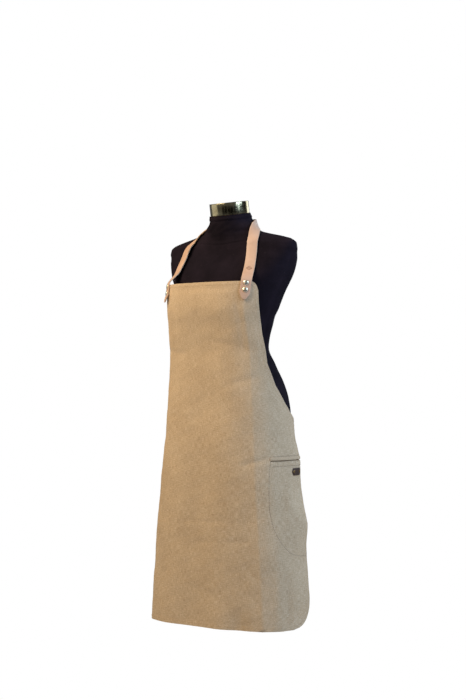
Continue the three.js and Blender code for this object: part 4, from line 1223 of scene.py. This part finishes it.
@dataclass
class Halter:
    """Leather neck strap riveted over the bib's corners, with leather backings behind the canvas."""

    cloth: WornCloth
    seat: tuple[float, float, float] = (127.4, -106.7, 456.0)
    normal: tuple[float, float, float] = (0.601, -0.784, 0.152)
    rising: tuple[float, float, float] = (0.011, 0.199, 0.98)
    across: tuple[float, float, float] = (-0.799, -0.588, 0.128)
    half: float = 13.7
    far_sag: tuple[float, float, float] = (3.0, 1.0, -6.0)
    mark: tuple[float, float, float] = (503.0, 7.5, 6.5)
    tip: tuple = (
        (-33.8, 2.6), (-32.4, 4.8), (-25.0, 9.6), (-18.6, 13.0), (-15.6, 13.7), (0, 13.7), (16, 13.7),
    )
    route: tuple = (
        ((122, -90, 489), (-0.86, -0.49, 0.11)), ((118.7, -82, 498), (-0.89, -0.45, 0.09)),
        ((115, -70.5, 519), (-0.92, -0.385, 0.045)), ((111, -60.5, 540), (-0.92, -0.39, -0.02)),
        ((106.7, -52, 563), (-0.91, -0.415, -0.015)), ((104.7, -48, 575.5), (-0.90, -0.435, -0.01)),
        ((100.6, -39, 586), (-0.86, -0.505, 0)), ((97, -31.5, 596), (-0.77, -0.635, 0.07)),
        ((92.5, -23.3, 605), (-0.67, -0.71, 0.21)), ((87.5, -14.3, 612), (-0.57, -0.73, 0.38)),
        ((83, -6, 617), (-0.47, -0.70, 0.53)), ((78.4, 2, 620.4), (-0.35, -0.64, 0.685)),
        ((73.7, 10.2, 623.2), (-0.21, -0.545, 0.81)), ((67.6, 18.8, 625.6), (-0.13, -0.42, 0.90)),
        ((51.5, 35.8, 629), (0.03, -0.22, 0.975)), ((35, 47.7, 631.2), (0.05, -0.07, 1)),
        ((18, 55.6, 632.5), (0.03, 0, 1)), ((0, 59.2, 633), (0, 0, 1)),
    )
    rivets: tuple = ((127.5, -104.9, 465.0), (127.3, -108.6, 447.0))
    seat_s: float = 132.4
    backing: tuple[float, float, float] = (15.0, 436.0, 468.0)

    def build(self) -> None:
        """Builds the strap, the backings and the rivets of both corners."""
        near_side = self._stations()
        far_side = mirrored(near_side)[1:]
        for index, flare in ((-1, 4.5), (-2, 3.9), (-3, 2.6), (-4, 1.2), (-5, 0.3)):
            far_side[index, :3] += np.array((-self.normal[0], self.normal[1], self.normal[2])) * flare
        over_shoulder = np.exp(-(((far_side[:, :1] + 84) / 26) ** 2)) * (far_side[:, 2:3] > 570)
        far_side[:, :3] += over_shoulder * self.far_sag
        leather = LeatherStrip("neck_strap_leather", np.vstack([near_side, far_side]))
        dress(leather.build(), Finish.LEATHER, "apron", ["neck_strap"])
        self._mark(leather)
        half, low, high = self.backing
        for name, side in (("left", 1), ("right", -1)):
            middle = side * self.seat_s
            back = ClothPiece(f"bib_backing_{name}_leather", self.cloth, low, high,
                              lambda z, m=middle: 0 * z + m - half, lambda z, m=middle: 0 * z + m + half,
                              lift=-1.95, thickness=1.4, cell=4.0, hemmed=False).build()
            dress(back, Finish.LEATHER, "apron", [f"bib_backing_{name}"])
            for level, place in zip(("upper", "lower"), self.rivets):
                node = f"neck_rivet_{name}_{level}"
                seat = (side * place[0], place[1], place[2])
                normal = np.array([side * self.normal[0], self.normal[1], self.normal[2]])
                head = Fastener(node, seat, normal,
                                radius=6.5, low=3.35, high=6.4, post=1.6, foot=1.0).build()
                dress(head, Finish.NICKEL, "apron", [node])
                cap = Fastener(f"{node}_cap", seat, -normal,
                               radius=4.75, low=4.35, high=6.1, post=1.6, foot=2.0).build()
                dress(cap, Finish.NICKEL, "apron", [f"{node}_cap"])

    def _mark(self, leather: LeatherStrip) -> None:
        """Lays a plain lozenge of two thin raised outlines on the strap's face, above the left rivets.

        Args:
            leather: the strap, which gives the place and directions of its face.
        """
        height, wide, tall = self.mark
        middle, across, forward = leather.face(height)
        for name, share in (("outer", 1.0), ("inner", 0.5)):
            corners = [(wide, 0), (0, tall), (-wide, 0), (0, -tall), (wide, 0)]
            path = [share * (np.array(a) * (1 - t) + np.array(b) * t)
                    for a, b in zip(corners, corners[1:]) for t in np.linspace(0, 0.9, 7)]
            points = np.array([middle + across * u + forward * v for u, v in path])
            ring = Rod(f"strap_mark_{name}", points, 0.55, closed=True).build()
            dress(ring, Finish.STAMP, "apron")

    def _stations(self) -> Array:
        """Stations from the wearer's left tip to the nape: point, direction across, half width."""
        seat, rising = np.array(self.seat), np.array(self.rising)
        end = [(*(seat + rising * along), *self.across, half) for along, half in self.tip]
        return np.array(end + [(*point, *across, self.half) for point, across in self.route])


@dataclass
class WaistBelt:
    """Leather waist straps joined by a heel bar buckle at the small of the back."""

    z: float = 97.0
    half: float = 12.5
    thickness: float = 3.0
    inner_y: float = 129.5
    bar: tuple[float, float] = (15.0, 133.1)
    wire: float = 1.8
    frame_half: tuple[float, float] = (15.0, 19.0)
    corner: float = 4.0
    normal: tuple[float, float, float] = (0.695, 0.717, 0.06)
    rivets: tuple = ((146.8, 71.2, 103.2), (147.3, 71.7, 90.8))

    def build(self) -> None:
        """Builds both straps, their rivets, the buckle and the keeper."""
        side = [
            (150.7, 62.3), (144.3, 68.6), (139, 73.8), (133.5, 79.1), (121, 94), (108, 109), (91, 121),
            (74, self.inner_y),
        ]
        fold = [(self.bar[0] + 3.6 * math.cos(math.radians(a)), self.bar[1] + 3.6 * math.sin(math.radians(a)))
                for a in (-90, -126, -162, 162, 126, 90)]
        approach = [(52, self.inner_y), (30, self.inner_y)]
        returning = [(22, 135.9), (30, 132.8), (44, 132.8)]
        fold_side = self._strip("waist_strap_buckle_side_leather", side + approach + fold + returning)
        cut_box(fold_side, (3, 124, self.z - 3.2), (20.2, 140.2, self.z + 3.2))
        dress(fold_side, Finish.LEATHER, "apron", ["waist_strap_buckle_side"])
        mirror = [(-x, y) for x, y in side]
        free_side = self._strip("waist_strap_free_side_leather", mirror + [
            (-45, self.inner_y), (-20, self.inner_y), (-13, self.inner_y), (9, 140.0), (21, 140.0),
            (33, 136.1), (45, 136.1), (54, 132.8), (76, 132.8), (98, 132.8)], pointed=True)
        cut_box(free_side, (-7.5, 122, self.z - 2.6), (10.5, 146, self.z + 2.6))
        dress(free_side, Finish.LEATHER, "apron", ["waist_strap_free_side"])
        self._rivets()
        self._buckle()
        self._keeper()

    def _strip(self, name: str, plan: list, pointed: bool = False) -> bpy.types.Object:
        """A strap standing on edge along a plan line of its middle, its free end rounded where asked."""
        plan = np.array(plan, float)
        half = np.full(len(plan), self.half)
        if pointed:
            plan = np.vstack([plan[:-1], plan[-1] - (4, 0), plan[-1]])
            half = np.concatenate([half[:-1], [self.half * 0.86, self.half * 0.45]])
        up = np.tile((0.0, 0.0, 1.0), (len(plan), 1))
        up[:4] = np.array((-0.041 * np.sign(plan[0, 0]), -0.044, 0.998))
        stations = np.hstack([plan, np.full((len(plan), 1), self.z), up, half[:, None]])
        inner = -self.thickness / 2
        return LeatherStrip(name, stations, self.thickness, spacing=1.5, soften=0.6, inner=inner).build()

    def _rivets(self) -> None:
        """Two rivets through each side corner of the canvas."""
        for name, side in (("left", 1), ("right", -1)):
            for level, place in zip(("upper", "lower"), self.rivets):
                node = f"waist_rivet_{name}_{level}"
                seat = (side * place[0], place[1], place[2])
                normal = np.array([side * self.normal[0], self.normal[1], self.normal[2]])
                head = Fastener(node, seat, normal,
                                radius=4.5, low=0.35, high=2.2, post=1.5, foot=-2.0).build()
                dress(head, Finish.NICKEL, "apron", [node])
                cap = Fastener(f"{node}_cap", seat, -normal,
                               radius=4.25, low=5.8, high=7.0, post=1.5, foot=4.0).build()
                dress(cap, Finish.NICKEL, "apron", [f"{node}_cap"])

    def _buckle(self) -> None:
        """Rounded frame of wire, and the prong with its eye round the bar."""
        turns = [(sx, sz, math.radians(90 * quarter + d)) for quarter, (sx, sz) in
                 enumerate(((1, 1), (-1, 1), (-1, -1), (1, -1))) for d in (0, 15, 30, 45, 60, 75, 90)]
        reach_x, reach_z = (half - self.corner for half in self.frame_half)
        path = [(sx * reach_x + self.corner * math.cos(a), self.bar[1],
                 self.z + sz * reach_z + self.corner * math.sin(a)) for sx, sz, a in turns]
        frame = Rod("buckle_frame_wire", np.array(path), self.wire, closed=True).build()
        dress(frame, Finish.BRASS, "apron", ["buckle_frame"])
        x = np.linspace(11.6, -18, 12)
        arm = np.stack([x, 133.7 + (11.6 - x) * 0.115, np.full_like(x, self.z)], -1)
        prong = Rod("buckle_prong_wire", arm, np.linspace(1.4, 1.15, 12)).build()
        deselect()
        bpy.ops.mesh.primitive_torus_add(
            major_radius=2.95 * MM, minor_radius=0.72 * MM, major_segments=32, minor_segments=12,
            location=(self.bar[0] * MM, self.bar[1] * MM, self.z * MM))
        eye = bpy.context.object
        eye.scale = (1, 1, 2.6)
        settle(eye)
        smooth_shade(eye)
        deselect()
        eye.select_set(True)
        prong.select_set(True)
        bpy.context.view_layer.objects.active = prong
        bpy.ops.object.join()
        dress(prong, Finish.BRASS, "buckle_prong", ["buckle_prong"])

    def _keeper(self) -> None:
        """Narrow leather loop round both layers of the strap."""
        low, high, x = (127.6, self.z - 13.0), (134.7, self.z + 13.0), 63.0
        r, path = 1.2, []
        for cy, cz, start in ((high[0] - r, low[1] + r, -90), (high[0] - r, high[1] - r, 0),
                              (low[0] + r, high[1] - r, 90), (low[0] + r, low[1] + r, 180)):
            bend = [math.radians(start + d) for d in (0, 30, 60, 90)]
            path += [(x, cy + r * math.cos(a), cz + r * math.sin(a)) for a in bend]
        stations = np.hstack([np.array(path), np.tile((1.0, 0, 0, 4.5), (len(path), 1))])
        loop = LeatherStrip("strap_keeper_leather", stations, thickness=1.9, spacing=0.8, soften=0.5,
                            inner=0.0, closed=True).build()
        dress(loop, Finish.LEATHER, "strap_keeper", ["strap_keeper"])


# ------------------------------------------------------------------ the dress form
@dataclass
class DressForm:
    """The form under the apron: a knitted cover on foam, its board and socket, and the neck cap."""

    lean: float = 9.5
    columns: int = 168
    cap_radius: float = 51.5
    cap_height: float = 31.5
    cap_wall: float = 1.6
    neck: tuple[float, float] = (-7.5, 655.0)
    cover: float = 1.2
    rows: tuple = (
        (4, 160, 105, 108, 0, 2.2), (71, 166, 110, 114, 0, 2.2), (131, 166, 111, 116, 0, 2.2),
        (174, 160, 109, 112, 0, 2.2), (216, 146, 103, 104, -1, 2.2), (261, 124, 90, 89, -4, 2.2),
        (303, 105, 82, 79, -7, 2.2), (336, 112, 86, 81, -8, 2.2), (361, 120, 92, 85, -8, 2.2),
        (386, 127, 98, 89, -8, 2.2), (406, 138, 101, 93, -7, 2.2), (427, 145, 101, 96, -6, 2.3),
        (448, 153, 99, 98, -5, 2.4), (469, 164, 95, 99, -4, 2.5), (490, 176, 88, 98, -3, 2.6),
        (510, 184, 78, 95, -2, 2.7), (531, 193, 67, 88, -1, 2.6), (548, 198, 58, 86, -1, 2.3),
        (561, 203, 54, 80, -1, 2.1), (572, 203, 52, 74, 0, 1.95), (577, 200, 51, 70, 0, 1.65),
        (583, 190, 51, 66, 0, 1.45), (588, 171, 52, 64, 0, 1.35), (593, 150, 53, 63, 0, 1.3),
        (599, 122, 54, 61, -1, 1.3), (606, 96, 55, 61, -1, 1.35), (621, 72, 54, 57, -2, 1.75),
        (636, 56, 54, 54, -4, 2.0), (655, 53, 53, 53, -7.5, 2.0),
    )

    def build(self, nodes: dict) -> None:
        """Builds the cover and the cap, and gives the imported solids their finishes.

        Args:
            nodes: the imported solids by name.
        """
        cover = self._cover()
        dress(cover, Finish.JERSEY, "form", ["torso_cover"])
        cap = self._cap()
        dress(cap, Finish.CAP_BRASS, "neck_cap", ["neck_cap"])
        for name, finish in (
            ("torso_core", Finish.FOAM), ("base_board", Finish.WOOD), ("stand_socket", Finish.STEEL),
            ("neck_block", Finish.WOOD), ("neck_spigot", Finish.STEEL),
            *((f"base_screw_{i}", Finish.STEEL) for i in range(1, 5)),
        ):
            for holder in nodes[name].material_slots:
                holder.material = finish.material()
            log.info("%s: finish %s", name, finish.name.lower())

    def _cover(self) -> bpy.types.Object:
        """The knitted cover, with its neck seam, side seams and rolled collar."""
        table = np.array(self.rows, float)
        section = pchip(table[:, 0], table[:, 1:])
        heights = np.concatenate([np.arange(4.3, 530, 5.2), np.arange(530, 654.7, 1.9), [654.7]])
        obj, around, up = grid_sheet("torso_jersey", self.columns, len(heights) - 1)
        angle = 2 * math.pi * (around % self.columns) / self.columns
        z = heights[up]
        flat = np.stack([np.interp(heights, table[:, 0], table[:, k]) for k in range(1, 6)], -1)
        rows = section(heights)
        spare = np.clip(flat - rows, 0, None)
        spare[:, 3:] = 0
        wide = np.max([np.roll(spare, k, 0) for k in range(-3, 4)], axis=0)
        rows += np.mean([np.roll(wide, k, 0) for k in range(-3, 4)], axis=0)
        a, front, back, middle, power = rows[up].T
        cx, cy = np.sin(angle), -np.cos(angle)
        depth = np.where(cy < 0, front, back)
        r = oval_radius(cx, cy, a, depth, power)
        tilt = math.tan(math.radians(self.lean)) * np.clip((z - 600) / 36, 0, 1)
        points = np.stack([r * cx, middle + r * cy, z + tilt * r * cy], -1)
        out = unit(np.stack([cx / a, cy / depth, 0 * z], -1))
        seam = 585.5 + 13.5 * cy
        relief = -0.9 * np.exp(-(((z - seam) / 1.8) ** 2)) + 0.9 * np.exp(-(((z - seam - 4) / 3.0) ** 2))
        relief -= 0.9 * np.exp(-(((z - 641) / 1.6) ** 2)) - 1.3 * np.exp(-(((z - 646) / 3.6) ** 2))
        collar = smoothstep(598, 612, z)
        relief += collar * (0.5 + 0.4 * np.sin(angle * 5 + z / 7) + 0.3 * np.sin(angle * 11 - z / 4))
        relief -= 0.9 * np.exp(-((cy * r / 2.0) ** 2)) * smoothstep(600, 570, z)
        place_vertices(obj, points + out * relief[:, None])
        weld(obj, cap_ends=False)
        self._face_out(obj)
        wall = obj.modifiers.new("wall", "SOLIDIFY")
        wall.thickness = self.cover * MM
        wall.offset = -1
        finish_modifiers(obj)
        smooth_shade(obj, 60)
        return obj

    @staticmethod
    def _face_out(obj: bpy.types.Object) -> None:
        """Turns an open shell's faces away from the upright axis where most point towards it."""
        score = sum(p.normal.x * p.center.x + p.normal.y * p.center.y for p in obj.data.polygons)
        if score < 0:
            activate(obj)
            bpy.ops.object.mode_set(mode="EDIT")
            bpy.ops.mesh.select_all(action="SELECT")
            bpy.ops.mesh.flip_normals()
            bpy.ops.object.mode_set(mode="OBJECT")

    def _cap(self) -> bpy.types.Object:
        """Turned metal cap, open below, leaning with the neck."""
        deselect()
        bpy.ops.mesh.primitive_cylinder_add(
            vertices=128, radius=self.cap_radius * MM, depth=self.cap_height * MM,
            location=(0, 0, self.cap_height / 2 * MM))
        obj = bpy.context.object
        obj.name = obj.data.name = "neck_cap_metal"
        settle(obj)
        select_faces(obj, lambda c, n: n.z < -0.9)
        bpy.ops.mesh.inset(thickness=self.cap_wall * MM)
        bpy.ops.mesh.extrude_region_move(
            TRANSFORM_OT_translate={"value": (0, 0, (self.cap_height - 2.4) * MM)})
        bpy.ops.object.mode_set(mode="OBJECT")
        bevel = obj.modifiers.new("rim", "BEVEL")
        bevel.width = 0.75 * MM
        bevel.segments = 3
        bevel.limit_method = "ANGLE"
        bevel.angle_limit = math.radians(60)
        finish_modifiers(obj)
        turn = Matrix.Rotation(math.radians(self.lean), 4, "X")
        obj.data.transform(Matrix.Translation(Vector((0, *self.neck)) * MM) @ turn)
        smooth_shade(obj, 35)
        return obj


# ------------------------------------------------------------------ studio
@dataclass
class Studio:
    """Plain pale floor and backdrop, soft lights and the camera, in metres."""

    azimuth: float = 38.0
    distance: float = 4.0
    height: float = 0.2
    aside: float = 0.003
    pitch: float = 1.43
    lens: float = 78.53
    floor_z: float = -1.05

    def build(self) -> None:
        """Sets up the camera, floor, backdrop and lights."""
        self._camera()
        self._world()
        self._floor()
        self._backdrop()
        self._light("key", (-26, 46), 2.2, 56, (1.4, 1.4), (1.0, 0.85, 0.61))
        self._light("side", (96, 28), 2.6, 66, (1.4, 1.8), (0.54, 0.74, 1.0))
        self._light("rim", (175, 30), 3.2, 26, (1.6, 2.4), (0.84, 0.92, 1.0))
        self._card("cap_glow", -62, 0, (1.9, 1.4), 0.75)
        for index, (azimuth, rise, width) in enumerate((
                (0, -12, 0.5), (17, -12, 0.62), (35, -12, 0.5), (52, -11, 0.66), (71, -6, 0.6), (88, -2, 0.5),
                (104, 2, 0.56), (121, 5, 0.6), (139, 8, 0.5))):
            self._card(f"cap_flag_{index}", azimuth, rise, (width, 0.9), 0.0)
        bpy.context.scene.view_settings.view_transform = "Standard"
        bpy.context.scene.view_settings.look = "None"

    def _camera(self) -> None:
        """Camera at the front, to the wearer's left."""
        turn = math.radians(self.azimuth)
        data = bpy.data.cameras.new("camera")
        data.sensor_fit = "VERTICAL"
        data.sensor_height = 36
        data.lens = self.lens
        camera = bpy.data.objects.new("camera", data)
        camera.location = (math.sin(turn) * self.distance + math.cos(turn) * self.aside,
                           -math.cos(turn) * self.distance + math.sin(turn) * self.aside, self.height)
        camera.rotation_euler = (math.radians(90 + self.pitch), 0, turn)
        bpy.context.scene.collection.objects.link(camera)
        bpy.context.scene.camera = camera

    def _world(self) -> None:
        """Even, dim surrounding light."""
        world = bpy.data.worlds.new("studio")
        world.use_nodes = True
        background = world.node_tree.nodes["Background"]
        background.inputs[0].default_value = (0.92, 0.95, 1.0, 1)
        background.inputs[1].default_value = 0.12
        bpy.context.scene.world = world

    def _emitter(self, name: str, color: Color, strength: float) -> bpy.types.Material:
        """A plainly glowing material."""
        material = bpy.data.materials.new(name)
        material.use_nodes = True
        tree = material.node_tree
        tree.nodes.clear()
        output = tree.nodes.new("ShaderNodeOutputMaterial")
        glow = tree.nodes.new("ShaderNodeEmission")
        glow.inputs[0].default_value = (*color, 1)
        glow.inputs[1].default_value = strength
        tree.links.new(glow.outputs[0], output.inputs[0])
        return material

    def _floor(self) -> None:
        """Round pale floor below the apron."""
        deselect()
        bpy.ops.mesh.primitive_circle_add(vertices=96, radius=2.0, fill_type="NGON",
                                          location=(0, 0, self.floor_z))
        floor = bpy.context.object
        floor.name = floor.data.name = "floor"
        settle(floor)
        dye = Dye("floor_paint")
        tone = dye.noise(dye.place(), 1.2, 2, 0.5)
        dye.feed(dye.shader.inputs["Base Color"],
                 dye.ramp(tone, [(0.3, (0.86, 0.86, 0.86)), (0.7, (0.90, 0.90, 0.90))]))
        dye.constants(Roughness=0.9)
        floor.data.materials.append(dye.material)

    def _backdrop(self) -> None:
        """White surround that is seen but doesn't light or reflect in the piece."""
        deselect()
        bpy.ops.mesh.primitive_uv_sphere_add(segments=48, ring_count=24, radius=14)
        dome = bpy.context.object
        dome.name = dome.data.name = "backdrop"
        activate(dome)
        bpy.ops.object.mode_set(mode="EDIT")
        bpy.ops.mesh.select_all(action="SELECT")
        bpy.ops.mesh.flip_normals()
        bpy.ops.object.mode_set(mode="OBJECT")
        dome.data.materials.append(self._emitter("backdrop_white", (1.0, 1.0, 1.0), 1.0))
        for ray in ("diffuse", "glossy", "transmission", "volume_scatter", "shadow"):
            setattr(dome, f"visible_{ray}", False)

    def _spot(self, azimuth: float, elevation: float, distance: float, target: Vector) -> Matrix:
        """Placement of something that faces the target from a bearing, 0 being the front."""
        a, e = math.radians(azimuth), math.radians(elevation)
        bearing = Vector((math.sin(a) * math.cos(e), -math.cos(a) * math.cos(e), math.sin(e)))
        place = target + distance * bearing
        turn = (target - place).to_track_quat("-Z", "Y").to_matrix().to_4x4()
        return Matrix.Translation(place) @ turn

    def _light(self, name: str, bearing: tuple[float, float], distance: float, power: float,
               size: tuple[float, float], color: Color) -> None:
        """One soft area light facing the apron."""
        data = bpy.data.lights.new(name, "AREA")
        data.shape = "RECTANGLE"
        data.size, data.size_y = size
        data.energy = power
        data.color = color
        light = bpy.data.objects.new(name, data)
        light.matrix_world = self._spot(*bearing, distance, Vector((0, 0, 0.1)))
        bpy.context.scene.collection.objects.link(light)

    def _card(self, name: str, azimuth: float, elevation: float, size: tuple[float, float],
              glow: float) -> None:
        """An upright card, dark or glowing, that only shows as a reflection in the metal."""
        deselect()
        bpy.ops.mesh.primitive_plane_add(size=1)
        card = bpy.context.object
        card.name = card.data.name = name
        card.scale = (*size, 1)
        settle(card)
        card.data.transform(self._spot(azimuth, elevation, 2.2, Vector((0, 0, 0.66))))
        card.data.materials.append(self._emitter(f"{name}_card", (1.0, 0.97, 0.9), glow))
        for ray in ("camera", "diffuse", "transmission", "volume_scatter", "shadow"):
            setattr(card, f"visible_{ray}", False)


def main() -> None:
    """Builds the whole piece and its studio in order."""
    logging.basicConfig(level=logging.INFO, format="%(message)s")
    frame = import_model()
    Studio().build()
    cloth = WornCloth()
    ApronCloth(cloth).build()
    Label(cloth).build()
    Halter(cloth).build()
    WaistBelt().build()
    DressForm().build(frame["nodes"])


if __name__ == "__main__":
    main()
